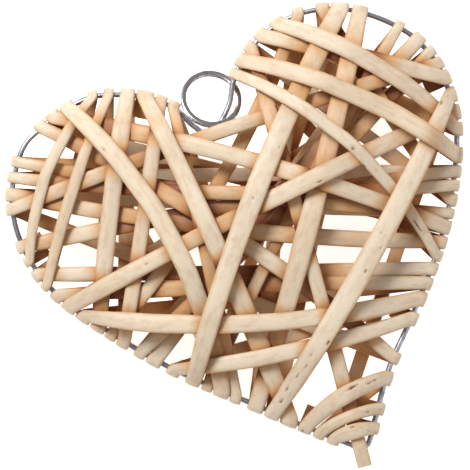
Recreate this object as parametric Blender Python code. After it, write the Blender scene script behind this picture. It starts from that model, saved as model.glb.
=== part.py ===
"""Rattan heart ornament: flat willow strips wound round a bent steel wire heart, with a split ring at the cleft.

The heart lies on its back. +Z is its front, +Y points from the tip to the cleft, and +X to the right lobe.
Each strip is one long ribbon. It crosses the front, folds round the wire, crosses the back, folds again and so on.
A new crossing lies on the crossings that were wound before it, so the order of the table is the winding order.
"""
import bmesh
import bpy
import numpy as np
from mathutils import Vector

MM = 0.001

# The heart's width and height between the outermost points of its wire, in millimetres
HEART_WIDTH = 190.0
HEART_HEIGHT = 181.0
# The wire's drawing, clockwise from the cleft, seen from the front. It is stretched to that width and height
WIRE_POINTS = [
    (-2, 44.5), (9, 51.5), (16, 61), (26, 69), (38, 74), (54, 75), (71, 69), (85, 57), (94, 43), (97, 25),
    (93, 4), (82, -17), (66, -38), (45, -59), (26, -76), (11, -94), (3, -102), (-6, -95), (-33, -66),
    (-59, -37), (-79, -8), (-89, 10), (-93, 25), (-93, 42), (-88, 57), (-77, 71), (-66, 76), (-53, 79),
    (-41, 79), (-32, 76), (-21, 70), (-11.5, 60.5), (-7.5, 51),
]
WIRE_DIAMETER = 2.4
WIRE_STEP = 9.0
WIRE_BEVEL_RESOLUTION = 2

# Front crossings in winding order: name, start and end in percent of the way round the wire, width, sideways bow
CROSSINGS = [
    ("rib", 36.2, 75.5, 6.4, 0.5),
    ("low", 37.3, 73.2, 6.6, -1.5),
    ("slope", 69.2, 10.8, 6.0, -7.0),
    ("lean", 19.6, 65.5, 7.5, -3.0),
    ("lath", 20.8, 66.6, 6.0, 2.0),
    ("fall", 12.6, 31.6, 6.5, -1.5),
    ("deep", 18.0, 61.4, 5.5, -3.0),
    ("belt", 29.5, 77.8, 6.6, -1.8),
    ("west", 81.4, 34.4, 6.8, -4.5),
    ("ledge", 83.8, 32.4, 5.5, -3.0),
    ("sill", 82.7, 30.4, 6.0, -5.0),
    ("cross", 43.1, 87.0, 6.7, -6.0),
    ("collar", 80.6, 22.3, 6.2, 2.5),
    ("shelf", 7.2, 23.1, 7.4, 0.5),
    ("notch", 97.0, 59.3, 5.5, 0.5),
    ("spine", 5.9, 50.0, 6.3, 0.5),
    ("mast", 15.1, 57.0, 8.6, 1.7),
    ("yoke", 87.9, 33.2, 7.2, 4.8),
    ("stave", 95.9, 68.2, 6.2, 0.5),
    ("slat", 91.0, 76.7, 5.0, -7.0),
    ("batten", 92.1, 74.7, 5.0, -2.1),
    ("post", 93.4, 70.2, 7.4, -1.2),
    ("sash", 72.2, 25.2, 7.4, 2.0),
    ("fork", 94.7, 55.1, 8.0, 2.0),
    ("diag", 88.9, 60.5, 7.6, 12.5),
    ("girdle", 38.5, 71.2, 7.6, 6.8),
    ("skirt", 40.1, 64.0, 6.7, 3.0),
    ("heel", 44.6, 54.6, 7.0, -3.2),
    ("sole", 46.8, 53.7, 6.0, -2.0),
    ("king", 13.6, 62.3, 8.6, -5.0),
    ("arch", 9.2, 26.1, 7.2, 6.0),
    ("brace", 4.6, 35.5, 5.4, 10.5),
    ("great", 23.8, 56.1, 8.2, 3.4),
    ("crown", 5.3, 28.5, 7.6, 6.0),
    ("toe", 48.2, 51.9, 6.0, -1.0),
]
# The crossing that runs out over the tip as a loose end, and how far it reaches past the wire
LOOSE_CROSSING = "spine"
LOOSE_REACH = 8.0

STRIP_THICKNESS = 1.5
FOLD_GAP = 0.7
FOLD_SPREAD_MAX = 1.08
FOLD_NARROWING = 0.82
FOLD_ANGLES = (0, 45, 90, 135, 180)
STATION_SPACING = 30.0
RISE_RUN = 4.0
TURN_RUN = 12.0
MITRE_RUN = 16.0
CROWN_SHARE = 0.62
EDGE_SHARE = 0.1
WIRE_CLEARANCE = 0.35
STRIP_CLEARANCE = 0.3
SIDE_CLEARANCE = 0.3

# A crossing on the back goes to an end whose own front crossing lies near, within this shift in percent of the wire
BACK_LARGEST_SHIFT = 30.0
BACK_SHORTEST = 25.0
BACK_LEAST_SLANT = 0.42
CROSSINGS_PER_STRIP = 4
TAIL_LENGTH = 9.0

# The winding is hollow: its lowest crossings bow over an empty core of this height on each side of the wire
CORE_HEIGHT = 7.0
CORE_SHOULDER = 40.0
CORE_GRID = 7.0

PILE_STEP = 1.2
LIFT_SWEEPS = 40

# The split ring: two flat turns, one on the other, joined by a short jog. It is linked round the wire at the cleft
RING_FROM_CLEFT = (6.1, 13.2)
RING_MEAN_RADIUS = 11.8
RING_BAND_WIDTH = 2.3
RING_BAND_HEIGHT = 1.0
RING_TURN_GAP = 0.3
RING_END_ANGLE = -2.0
RING_JOG_ANGLE = 40.0
RING_STEP_ANGLE = 18.0
# The ring clears the wire and its first fold from this many degrees inside the two places where it crosses them
RING_LEAD = 10.0
# The folds leave the wire bare for the ring, this far before and after the cleft
BARE_BEFORE_CLEFT = 17.6
BARE_AFTER_CLEFT = 25.4

WILLOW = ((0.80, 0.62, 0.42, 1.0), 0.62, 0.0)
STEEL = ((0.60, 0.61, 0.64, 1.0), 0.28, 1.0)

wire_radius = WIRE_DIAMETER / 2
fold_radius = wire_radius + WIRE_CLEARANCE + STRIP_THICKNESS / 2


def smooth_loop(points, per_span=24):
    """A closed Catmull-Rom curve through the points, as many short steps."""
    points = np.array(points, float)
    t = np.linspace(0, 1, per_span, endpoint=False)[:, None]
    spans = []
    for i in range(len(points)):
        a, b, c, d = (points[(i + k) % len(points)] for k in (-1, 0, 1, 2))
        spans.append(0.5 * (2 * b + (c - a) * t + (2 * a - 5 * b + 4 * c - d) * t**2
                            + (3 * b - a - 3 * c + d) * t**3))
    return np.concatenate(spans)


def wire_points():
    """The points of the wire at the heart's own width and height."""
    drawn = np.array(WIRE_POINTS, float)
    return drawn * np.array([HEART_WIDTH, HEART_HEIGHT]) / np.ptp(drawn, axis=0)


class Rim:
    """The wire's centre line, read by percent of the way round from the cleft, clockwise from the front."""

    def __init__(self, points):
        self.line = smooth_loop(points)
        closed = np.vstack([self.line, self.line[:1]])
        self.travelled = np.r_[0, np.cumsum(np.linalg.norm(np.diff(closed, axis=0), axis=1))]
        self.closed = closed
        self.length = self.travelled[-1]

    def at(self, percent):
        reach = (percent % 100) / 100 * self.length
        return np.array([np.interp(reach, self.travelled, self.closed[:, k]) for k in (0, 1)])

    def tangent(self, percent):
        step = 100 * 1.5 / self.length
        along = self.at(percent + step) - self.at(percent - step)
        return along / np.linalg.norm(along)

    def inward(self, percent):
        along = self.tangent(percent)
        return np.array([along[1], -along[0]])

    def distance(self, points):
        return np.min(np.linalg.norm(points[:, None] - self.line[None, ::4], axis=2), axis=1)

    def holds(self, points):
        """Whether each point lies inside the heart."""
        a = self.closed[:-1]
        b = self.closed[1:]
        x, y = points[:, 0][:, None], points[:, 1][:, None]
        spans = (a[:, 1] > y) != (b[:, 1] > y)
        with np.errstate(divide="ignore", invalid="ignore"):
            at_x = a[:, 0] + (y - a[:, 1]) * (b[:, 0] - a[:, 0]) / (b[:, 1] - a[:, 1])
        return (np.sum(spans & (x < at_x), axis=1) % 2) == 1


def apart(a, b):
    """The signed way from percent a to percent b, the short way round."""
    return (b - a + 50) % 100 - 50


class End:
    """Where one front crossing meets the wire."""

    def __init__(self, crossing, side, percent, width, footprint):
        self.crossing = crossing
        self.side = side
        self.percent = percent
        self.width = width
        self.footprint = footprint
        self.back = None


def lay_out_ends(rim):
    """The ends of all crossings, nudged along the wire until no two folds share a stretch of it."""
    ends = []
    for number, (name, start, finish, width, bow) in enumerate(CROSSINGS):
        chord = rim.at(finish) - rim.at(start)
        chord /= np.linalg.norm(chord)
        for side, percent in enumerate((start, finish)):
            slant = abs(float(chord @ rim.inward(percent)))
            spread = FOLD_NARROWING * min(1 / max(slant, 0.1), FOLD_SPREAD_MAX)
            ends.append(End(number, side, percent, width, width * spread))
    ends.sort(key=lambda end: end.percent)
    for _ in range(400):
        for one, other in zip(ends, ends[1:] + ends[:1]):
            room = ((other.percent - one.percent) % 100) * rim.length / 100
            if room > rim.length / 2:
                room -= rim.length
            short = (one.footprint + other.footprint) / 2 + FOLD_GAP - room
            if short > 0:
                nudge = 100 * short / rim.length / 2
                one.percent -= nudge
                other.percent += nudge
        for end in ends:
            half = end.footprint / 2
            if end.percent > 50:
                end.percent = min(end.percent, 100 - 100 * (BARE_BEFORE_CLEFT + half) / rim.length)
            else:
                end.percent = max(end.percent, 100 * (BARE_AFTER_CLEFT + half) / rim.length)
    return ends


def pair_on_back(rim, ends, by_place):
    """Joins ends by crossings on the back, each about parallel to the front crossing that it comes from."""
    folded = [end for end in ends if not is_loose(end)]
    options = []
    for number, one in enumerate(folded):
        for other in folded[number + 1:]:
            chord = rim.at(other.percent) - rim.at(one.percent)
            length = np.linalg.norm(chord)
            if one.crossing == other.crossing or length < BACK_SHORTEST:
                continue
            slant = min(chord @ rim.inward(one.percent), -chord @ rim.inward(other.percent)) / length
            inner = rim.at(one.percent) + np.linspace(0.1, 0.9, 9)[:, None] * chord
            if slant < BACK_LEAST_SLANT or not rim.holds(inner).all():
                continue
            here = by_place[one.crossing, 1 - one.side].percent
            there = by_place[other.crossing, 1 - other.side].percent
            shift = abs(apart(here, other.percent)) + abs(apart(there, one.percent))
            if shift < BACK_LARGEST_SHIFT:
                options.append((shift, number, one, other))
    strip_of = {number: {number} for number in range(len(CROSSINGS))}
    for _, _, one, other in sorted(options, key=lambda option: option[:2]):
        if one.back is not None or other.back is not None:
            continue
        joined = strip_of[one.crossing] | strip_of[other.crossing]
        if strip_of[one.crossing] is not strip_of[other.crossing] and len(joined) <= CROSSINGS_PER_STRIP:
            one.back, other.back = other, one
            for number in joined:
                strip_of[number] = joined


def is_loose(end):
    return CROSSINGS[end.crossing][0] == LOOSE_CROSSING and end.side == 1


class Band:
    """One flat run of a strip, seen in plan: rungs from its right edge to its left edge, with a height for each."""

    def __init__(self, centres, halves):
        self.centres = np.array(centres)
        self.halves = np.array(halves)
        self.heights = np.zeros(len(centres))


def run_between(rim, start, finish, width, bow, facing):
    """A band from one rim place to another. start and finish are (percent, footprint), facing is +1 on the front."""
    a, b = rim.at(start[0]), rim.at(finish[0])
    chord = b - a
    length = np.linalg.norm(chord)
    along = chord / length
    left = np.array([-along[1], along[0]])
    control = (a + b) / 2 + 2 * bow * left
    count = max(3, int(round(length / STATION_SPACING)) + 1)
    inner = np.linspace(0, 1, count)
    near, next_on = (min(reach / length, limit) for reach, limit in ((RISE_RUN, 0.12), (TURN_RUN, 0.3)))
    inner = inner[(inner > 1.5 * next_on) & (inner < 1 - 1.5 * next_on)]
    rises = [near, 1 - near] if facing > 0 else []
    shares = np.unique(np.r_[0, rises, next_on, inner, 1 - next_on, 1])
    rim_halves = (facing * rim.tangent(start[0]) * start[1] / 2, -facing * rim.tangent(finish[0]) * finish[1] / 2)
    centres, halves = [], []
    for share in shares:
        centre = (1 - share)**2 * a + 2 * share * (1 - share) * control + share**2 * b
        slope = (1 - share) * (control - a) + share * (b - control)
        slope /= np.linalg.norm(slope)
        square = facing * np.array([-slope[1], slope[0]]) * width / 2
        end_half, reach = (rim_halves[0], share) if share < 0.5 else (rim_halves[1], 1 - share)
        blend = min(reach * length / MITRE_RUN, 1)
        blend = blend * blend * (3 - 2 * blend)
        centres.append(centre)
        halves.append((1 - blend) * end_half + blend * square)
    return Band(centres, halves)


def tail(rim, end, facing):
    """The short end of a strip after its last fold, straight inwards from the wire."""
    foot = rim.at(end.percent)
    half = facing * rim.tangent(end.percent) * end.footprint / 2
    return Band([foot, foot + rim.inward(end.percent) * TAIL_LENGTH], [half, half])


class Ring:
    """The split ring's place: over the wire where the wire enters its eye, and under the fold where it leaves."""

    def __init__(self, rim):
        centre = rim.at(0) + np.array(RING_FROM_CLEFT)
        places = np.linspace(0, 12, 500)
        inside = [p for p in places if np.linalg.norm(rim.at(p) - centre) < RING_MEAN_RADIUS]
        over, under = (np.arctan2(*(rim.at(p) - centre)[::-1]) for p in (inside[0], inside[-1]))
        over, under = over + np.radians(RING_LEAD), under - np.radians(RING_LEAD)
        opening = (under - over) % (2 * np.pi)
        above = (WIRE_DIAMETER + ring_height()) / 2 + WIRE_CLEARANCE
        below = fold_radius + (STRIP_THICKNESS + ring_height()) / 2 + STRIP_CLEARANCE
        self.steepest = over + opening / 2 + np.pi / 2
        self.tilt = np.arcsin((above + below) / (2 * RING_MEAN_RADIUS * np.sin(opening / 2)))
        self.centre = np.array([*centre, (above - below) / 2])
        down = np.array([np.cos(self.steepest), np.sin(self.steepest), 0.0])
        self.low = down * np.cos(self.tilt) - np.array([0, 0, 1.0]) * np.sin(self.tilt)
        self.side = np.array([-down[1], down[0], 0.0])
        self.axis = np.cross(self.low, self.side)

    def stations(self):
        """The stations of the flat wire, from its end on the lower turn to its end on the upper turn."""
        lift = RING_BAND_HEIGHT + RING_TURN_GAP
        total = 720.0 - RING_JOG_ANGLE - RING_STEP_ANGLE
        found = []
        for turned in np.linspace(0, total, int(total / RING_STEP_ANGLE) + 1):
            share = np.clip((turned - 360 + RING_JOG_ANGLE) / RING_JOG_ANGLE, 0, 1)
            angle = np.radians(RING_END_ANGLE + turned) - self.steepest
            out = np.cos(angle) * self.low + np.sin(angle) * self.side
            height = lift * (share * share * (3 - 2 * share) - 0.5)
            found.append((self.centre + out * RING_MEAN_RADIUS + height * self.axis,
                          out * RING_BAND_WIDTH / 2, self.axis))
        return found

    def pile(self):
        """Points on the ring's upper side, which the front crossings stay clear of."""
        points = []
        for centre, half, _ in self.stations():
            for across in (-1, 0, 1):
                x, y, z = centre + across * half
                points.append((x, y, z + RING_BAND_HEIGHT / 2))
        return np.array(points)


def ring_height():
    return 2 * RING_BAND_HEIGHT + RING_TURN_GAP


def core_points(rim):
    """The hollow core's surface, which the lowest crossings stay clear of."""
    low, high = rim.line.min(0), rim.line.max(0)
    xs = np.arange(low[0], high[0], CORE_GRID)
    ys = np.arange(low[1], high[1], CORE_GRID)
    grid = np.array([(x, y) for x in xs for y in ys])
    grid = grid[rim.holds(grid)]
    depth = np.minimum(rim.distance(grid) / CORE_SHOULDER, 1)
    rise = CORE_HEIGHT * np.sin(depth * np.pi / 2)
    return np.column_stack([grid, rise])


def lift(heights, index, share, need):
    """Raises the heights as little as possible until the straight runs between them clear every needed height."""
    order = np.lexsort((-need, np.round(share * 12), index))
    keep = []
    for k in order:
        if not keep or index[k] != index[keep[-1]] or round(share[k] * 12) != round(share[keep[-1]] * 12):
            keep.append(k)
    heights = heights.copy()
    pull = np.zeros(len(keep))
    for _ in range(LIFT_SWEEPS):
        for n, k in enumerate(keep):
            i, t = index[k], share[k]
            lack = need[k] - (1 - t) * heights[i] - t * heights[i + 1]
            change = max(-pull[n], lack / ((1 - t)**2 + t**2))
            pull[n] += change
            heights[i] += change * (1 - t)
            heights[i + 1] += change * t
    return heights


def settle(band, pile, floor):
    """Lays a band taut over the pile of surface points, and returns the pile with the band's own top added."""
    half_sheet = STRIP_THICKNESS / 2
    count = len(band.centres)
    places = np.r_[0, np.cumsum(np.linalg.norm(np.diff(band.centres, axis=0), axis=1))]
    met = []
    for i in range(count - 1):
        c0, c1, h0, h1 = band.centres[i], band.centres[i + 1], band.halves[i], band.halves[i + 1]
        u0, u1 = h0 / np.linalg.norm(h0), h1 / np.linalg.norm(h1)
        n0, n1 = np.array([u0[1], -u0[0]]), np.array([u1[1], -u1[0]])
        if n0 @ (c1 - c0) < 0:
            n0, n1 = -n0, -n1
        p = pile[:, :2]
        d0 = (p - c0) @ n0
        d1 = (c1 - p) @ n1
        near = (d0 > -SIDE_CLEARANCE) & (d1 > -SIDE_CLEARANCE) & (d0 + d1 > 1e-6)
        if not near.any():
            continue
        share = np.clip(d0[near] / (d0 + d1)[near], 0, 1)
        centre = c0 + share[:, None] * (c1 - c0)
        half = h0 + share[:, None] * (h1 - h0)
        size = np.linalg.norm(half, axis=1)
        across = np.abs(np.sum((p[near] - centre) * half, axis=1)) / size
        touching = across < size + SIDE_CLEARANCE
        need = pile[near][touching, 2] + STRIP_CLEARANCE + half_sheet
        met.append(np.column_stack([np.full(need.size, i), share[touching], need]))
    met = np.vstack(met) if met else np.zeros((0, 3))
    index = met[:, 0].astype(int)
    reach = places[index] + met[:, 1] * (places[index + 1] - places[index]) if len(met) else met[:, 0]
    starts = [floor, floor]
    if len(met):
        for k, mask in enumerate((reach < 1.0, reach > places[-1] - 1.0)):
            if mask.any():
                starts[k] = max(floor, met[mask, 2].max())
    corners = [(0.0, starts[0]), (places[-1], starts[1])]
    corners += [(float(s), float(z)) for s, z in zip(reach, met[:, 2])]
    corners.sort()
    hull = []
    for corner in corners:
        while len(hull) > 1:
            (x0, z0), (x1, z1) = hull[-2], hull[-1]
            if (z1 - z0) * (corner[0] - x0) <= (corner[1] - z0) * (x1 - x0):
                hull.pop()
            else:
                break
        hull.append(corner)
    hull = np.array(hull)
    heights = np.interp(places, hull[:, 0], hull[:, 1])
    band.heights = lift(heights, index, met[:, 1], met[:, 2])
    heights = band.heights
    samples = []
    for i in range(count - 1):
        length = places[i + 1] - places[i]
        for share in np.linspace(0, 1, int(length / PILE_STEP) + 2):
            centre = (1 - share) * band.centres[i] + share * band.centres[i + 1]
            half = (1 - share) * band.halves[i] + share * band.halves[i + 1]
            top = (1 - share) * heights[i] + share * heights[i + 1] + half_sheet
            for across in np.linspace(-1, 1, int(2 * np.linalg.norm(half) / PILE_STEP) + 2):
                samples.append((*(centre + across * half), top))
    return np.vstack([pile, samples])


def fold_stations(rim, end, top, bottom, downwards):
    """The stations of a strip's turn round the wire, from front to back or the other way."""
    foot = rim.at(end.percent)
    outward = -rim.inward(end.percent)
    half = rim.tangent(end.percent) * end.footprint / 2
    half = -half if downwards else half
    stations = []
    for degrees in FOLD_ANGLES if downwards else FOLD_ANGLES[::-1]:
        angle = np.radians(degrees)
        height = np.cos(angle) * (top if np.cos(angle) > 0 else bottom)
        place = foot + outward * fold_radius * np.sin(angle)
        normal = np.array([*(outward * np.sin(angle)), np.cos(angle)])
        stations.append((np.array([*place, height]), np.array([*half, 0.0]), normal))
    return stations


def band_stations(band, facing, backwards=False, skip_first=True, skip_last=True):
    """The stations of a flat run. A fold brings its own, so the ones at the wire are left out."""
    order = list(range(len(band.centres)))
    order = order[1 if skip_first else 0:len(order) - (1 if skip_last else 0)]
    if backwards:
        order = order[::-1]
    sign = -1 if backwards else 1
    return [(np.array([*band.centres[i], facing * band.heights[i]]),
             np.array([*(sign * band.halves[i]), 0.0]),
             np.array([0.0, 0.0, facing])) for i in order]


def strip_profile():
    """The section of a split willow strip: flat inside, crowned outside. Shares of half its width, and heights."""
    edge = EDGE_SHARE * STRIP_THICKNESS
    half = STRIP_THICKNESS / 2
    return [(-1, -half), (1, -half), (1, edge), (CROWN_SHARE, half), (-CROWN_SHARE, half), (-1, edge)]


def ring_profile():
    """The section of one turn of the split ring: a flattened wire with rounded edges."""
    half = RING_BAND_HEIGHT / 2
    return [(-0.6, -half), (0.6, -half), (1, 0), (0.6, half), (-0.6, half), (-1, 0)]


def loft(name, stations, profile, material, collection):
    """A closed strip through the stations, each (centre, half width, outward normal)."""
    mesh = bmesh.new()
    rings = []
    for centre, half, normal in stations:
        rings.append([mesh.verts.new(Vector((centre + across * half + up * normal) * MM)) for across, up in profile])
    count = len(profile)
    for one, other in zip(rings, rings[1:]):
        for k in range(count):
            mesh.faces.new((one[k], one[(k + 1) % count], other[(k + 1) % count], other[k]))
    mesh.faces.new(rings[0][::-1])
    mesh.faces.new(rings[-1])
    bmesh.ops.recalc_face_normals(mesh, faces=mesh.faces)
    data = bpy.data.meshes.new(name)
    mesh.to_mesh(data)
    mesh.free()
    data.shade_smooth()
    data.set_sharp_from_angle(angle=np.radians(40))
    data.materials.append(material)
    item = bpy.data.objects.new(name, data)
    collection.objects.link(item)
    return item


def tube(name, points, diameter, cyclic, material, collection):
    """A round wire along the points."""
    curve = bpy.data.curves.new(name, "CURVE")
    curve.dimensions = "3D"
    curve.bevel_depth = diameter / 2 * MM
    curve.bevel_resolution = WIRE_BEVEL_RESOLUTION
    curve.use_fill_caps = not cyclic
    spline = curve.splines.new("POLY")
    spline.points.add(len(points) - 1)
    for point, place in zip(spline.points, points):
        point.co = (*(np.array(place) * MM), 1.0)
    spline.use_cyclic_u = cyclic
    curve.materials.append(material)
    item = bpy.data.objects.new(name, curve)
    collection.objects.link(item)
    return item


def finish_material(name, look):
    colour, roughness, metallic = look
    material = bpy.data.materials.new(name)
    material.use_nodes = True
    shader = material.node_tree.nodes["Principled BSDF"]
    shader.inputs["Base Color"].default_value = colour
    shader.inputs["Roughness"].default_value = roughness
    shader.inputs["Metallic"].default_value = metallic
    return material


def loose_band(rim, front):
    """A front crossing that runs out over the wire: its last rung moves past the tip."""
    band = front
    way = band.centres[-1] - band.centres[-2]
    way /= np.linalg.norm(way)
    square = np.array([-way[1], way[0]]) * np.linalg.norm(band.halves[-3])
    band.halves[-1] = square
    band.halves[-2] = square
    band.centres[-1] = band.centres[-1] + way * LOOSE_REACH
    return band


def wind(rim, ring):
    """All flat runs with their heights: the front crossings, the back crossings and the tails of each strip."""
    ends = lay_out_ends(rim)
    by_place = {(end.crossing, end.side): end for end in ends}
    pair_on_back(rim, ends, by_place)
    fronts = []
    pile = np.vstack([core_points(rim), ring.pile()])
    for number, (name, _, _, width, bow) in enumerate(CROSSINGS):
        start, finish = by_place[number, 0], by_place[number, 1]
        band = run_between(rim, (start.percent, start.footprint), (finish.percent, finish.footprint), width, bow, 1)
        if name == LOOSE_CROSSING:
            band = loose_band(rim, band)
        pile = settle(band, pile, fold_radius)
        fronts.append(band)
    return by_place, fronts


def thread_strips(by_place):
    """The strips, each a list of (crossing, side it is entered by), from one end of the strip to the other."""
    strips, threaded = [], set()
    for number, side in sorted(by_place):
        if number in threaded or by_place[number, side].back is not None:
            continue
        chain = []
        end = by_place[number, side]
        while end is not None:
            chain.append((end.crossing, end.side))
            threaded.add(end.crossing)
            end = by_place[end.crossing, 1 - end.side].back
        strips.append(chain)
    return strips


def stand_at_origin(collection):
    """Moves all pieces together, so that the origin is the middle of the underside of their common box."""
    graph = bpy.context.evaluated_depsgraph_get()
    corners = []
    for item in collection.objects:
        evaluated = item.evaluated_get(graph)
        corners += [vertex.co[:] for vertex in evaluated.to_mesh().vertices]
        evaluated.to_mesh_clear()
    low, high = np.min(corners, axis=0), np.max(corners, axis=0)
    middle = (low + high) / 2
    for item in collection.objects:
        item.location = (-middle[0], -middle[1], -low[2])


def build():
    for item in list(bpy.data.objects):
        bpy.data.objects.remove(item, do_unlink=True)
    ornament = bpy.data.collections.new("rattan_heart_ornament")
    bpy.context.scene.collection.children.link(ornament)
    willow = finish_material("peeled_willow", WILLOW)
    steel = finish_material("bright_steel", STEEL)

    rim = Rim(wire_points())
    ring = Ring(rim)
    by_place, fronts = wind(rim, ring)
    strips = thread_strips(by_place)

    # The back: short tails at the strips' ends, and crossings to the next end, laid in the front's winding order
    backs = {}
    pile = core_points(rim)
    for place, end in sorted(by_place.items()):
        if end.back is None and not is_loose(end):
            backs[place] = tail(rim, end, -1)
            pile = settle(backs[place], pile, fold_radius)
    leaving_ends = [by_place[crossing, 1 - side] for chain in strips for crossing, side in chain[:-1]]
    for leaving in sorted(leaving_ends, key=lambda end: max(end.crossing, end.back.crossing)):
        reached = leaving.back
        width = min(leaving.width, reached.width)
        band = run_between(rim, (leaving.percent, leaving.footprint), (reached.percent, reached.footprint),
                           width, 0.0, -1)
        pile = settle(band, pile, fold_radius)
        backs[leaving.crossing, leaving.side] = band

    for number, chain in enumerate(strips):
        stations = []
        arriving = None
        for crossing, side in chain:
            entering, leaving = by_place[crossing, side], by_place[crossing, 1 - side]
            front = fronts[crossing]
            first, last = (front.heights[0], front.heights[-1])[::-1 if side else 1]
            if arriving is None and not is_loose(entering):
                arriving = backs[crossing, side]
                stations += band_stations(arriving, -1, backwards=True, skip_first=True, skip_last=False)
                stations += fold_stations(rim, entering, first, arriving.heights[0], downwards=False)
            elif arriving is not None:
                stations += fold_stations(rim, entering, first, arriving.heights[-1], downwards=False)
            loose = is_loose(entering) or is_loose(leaving)
            stations += band_stations(front, 1, backwards=side == 1, skip_last=not loose)
            if is_loose(leaving):
                break
            away = backs[crossing, 1 - side]
            stations += fold_stations(rim, leaving, last, away.heights[0], downwards=True)
            stations += band_stations(away, -1, skip_last=leaving.back is not None)
            arriving = away
        loft(f"willow_strip_{number + 1:02d}", stations, strip_profile(), willow, ornament)

    loft("split_ring", ring.stations(), ring_profile(), steel, ornament)
    steps = int(rim.length / WIRE_STEP)
    wire_line = [(*rim.at(100 * k / steps), 0.0) for k in range(steps)]
    tube("wire_heart", wire_line, WIRE_DIAMETER, True, steel, ornament)
    stand_at_origin(ornament)
    return ornament


build()
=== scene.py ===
# %% [markdown]
# # A heart of split willow
# The ornament is a heart bent from steel wire. Long split willow strips are wound over its front, round the
# wire, over its back and round the wire again, and a split ring hangs at the cleft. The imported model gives
# the real sizes and places. Here each piece gets the surface that the real one shows.

import bmesh
import bpy
import numpy as np
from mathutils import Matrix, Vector
from mathutils.bvhtree import BVHTree


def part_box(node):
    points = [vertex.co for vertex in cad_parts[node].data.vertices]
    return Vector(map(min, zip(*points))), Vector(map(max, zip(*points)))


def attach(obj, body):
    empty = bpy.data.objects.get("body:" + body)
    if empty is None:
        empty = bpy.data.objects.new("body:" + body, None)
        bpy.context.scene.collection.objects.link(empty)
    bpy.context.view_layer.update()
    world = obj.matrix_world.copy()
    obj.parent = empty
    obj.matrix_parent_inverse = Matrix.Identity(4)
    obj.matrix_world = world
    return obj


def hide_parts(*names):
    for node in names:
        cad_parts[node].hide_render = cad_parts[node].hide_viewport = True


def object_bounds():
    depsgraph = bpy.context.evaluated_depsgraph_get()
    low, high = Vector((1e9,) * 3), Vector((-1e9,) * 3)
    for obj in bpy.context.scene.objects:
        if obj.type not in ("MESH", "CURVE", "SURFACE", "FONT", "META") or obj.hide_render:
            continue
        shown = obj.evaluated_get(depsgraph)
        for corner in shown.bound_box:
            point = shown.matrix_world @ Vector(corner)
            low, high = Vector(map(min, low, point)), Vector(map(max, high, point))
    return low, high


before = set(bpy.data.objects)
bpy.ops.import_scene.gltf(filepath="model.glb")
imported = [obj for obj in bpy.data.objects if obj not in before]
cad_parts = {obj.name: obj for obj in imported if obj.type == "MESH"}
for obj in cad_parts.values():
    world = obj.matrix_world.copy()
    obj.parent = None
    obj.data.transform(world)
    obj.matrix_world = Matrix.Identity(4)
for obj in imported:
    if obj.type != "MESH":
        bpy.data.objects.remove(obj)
cad_box = [list(corner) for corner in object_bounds()]
MM = 0.001
print("nodes", sorted(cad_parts))

# %% [markdown]
# ## The wire's path
# The wire is bent by hand, so no circle or simple formula gives it. A closed Catmull-Rom curve runs through
# a few chosen points, in millimetres, clockwise from the cleft. Everything else is placed by percent of the
# way round it, which keeps the strips on the wire wherever it goes.

# %% The bent wire
WIRE_POINTS = [
    (-2, 44.5), (9, 51.5), (16, 61), (26, 69), (38, 74), (54, 75), (71, 69), (85, 57), (94, 43), (97, 25),
    (93, 4), (82, -17), (66, -38), (45, -59), (26, -76), (11, -94), (3, -102), (-6, -95), (-33, -66),
    (-59, -37), (-79, -8), (-89, 10), (-93, 25), (-93, 42), (-88, 57), (-77, 71), (-66, 76), (-53, 79),
    (-41, 79), (-32, 76), (-21, 70), (-11.5, 60.5), (-7.5, 51),
]
WIRE_DIAMETER = 2.4
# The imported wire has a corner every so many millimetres, which tells where this drawing lies in the model
SOLID_WIRE_STEP = 9.0
TANGENT_REACH = 1.5
LINE_SKIP = 4


def unit(vector):
    return vector / np.linalg.norm(vector)


def travelled(points):
    """How far along a chain of points each one lies."""
    return np.r_[0, np.cumsum(np.linalg.norm(np.diff(points, axis=0), axis=1))]


def part_way(a, b, share):
    return (1 - share) * a + share * b


def eased(share):
    """A share of 0 to 1 that starts and stops softly."""
    return share * share * (3 - 2 * share)


def smooth_loop(points, per_span=24):
    """A closed Catmull-Rom curve through the points, as many short steps."""
    points = np.array(points, float)
    t = np.linspace(0, 1, per_span, endpoint=False)[:, None]
    spans = []
    for i in range(len(points)):
        a, b, c, d = (points[(i + k) % len(points)] for k in (-1, 0, 1, 2))
        spans.append(0.5 * (2 * b + (c - a) * t + (2 * a - 5 * b + 4 * c - d) * t**2
                            + (3 * b - a - 3 * c + d) * t**3))
    return np.concatenate(spans)


class Rim:
    """The wire's centre line, read by percent of the way round from the cleft, clockwise from the front."""

    def __init__(self, points):
        self.line = smooth_loop(points)
        self.closed = np.vstack([self.line, self.line[:1]])
        self.travelled = travelled(self.closed)
        self.length = self.travelled[-1]

    def at(self, percent):
        """The place at a percent of the way round."""
        reach = (percent % 100) / 100 * self.length
        return np.array([np.interp(reach, self.travelled, self.closed[:, k]) for k in (0, 1)])

    def tangent(self, percent):
        """The way along the wire, clockwise."""
        step = 100 * TANGENT_REACH / self.length
        return unit(self.at(percent + step) - self.at(percent - step))

    def inward(self, percent):
        """The way from the wire into the heart."""
        along = self.tangent(percent)
        return np.array([along[1], -along[0]])

    def distance(self, points):
        """How far each point lies from the wire."""
        return np.min(np.linalg.norm(points[:, None] - self.line[None, ::LINE_SKIP], axis=2), axis=1)

    def holds(self, points):
        """Whether each point lies inside the heart."""
        a, b = self.closed[:-1], self.closed[1:]
        x, y = points[:, 0][:, None], points[:, 1][:, None]
        spans = (a[:, 1] > y) != (b[:, 1] > y)
        with np.errstate(divide="ignore", invalid="ignore"):
            at_x = a[:, 0] + (y - a[:, 1]) * (b[:, 0] - a[:, 0]) / (b[:, 1] - a[:, 1])
        return (np.sum(spans & (x < at_x), axis=1) % 2) == 1


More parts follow.
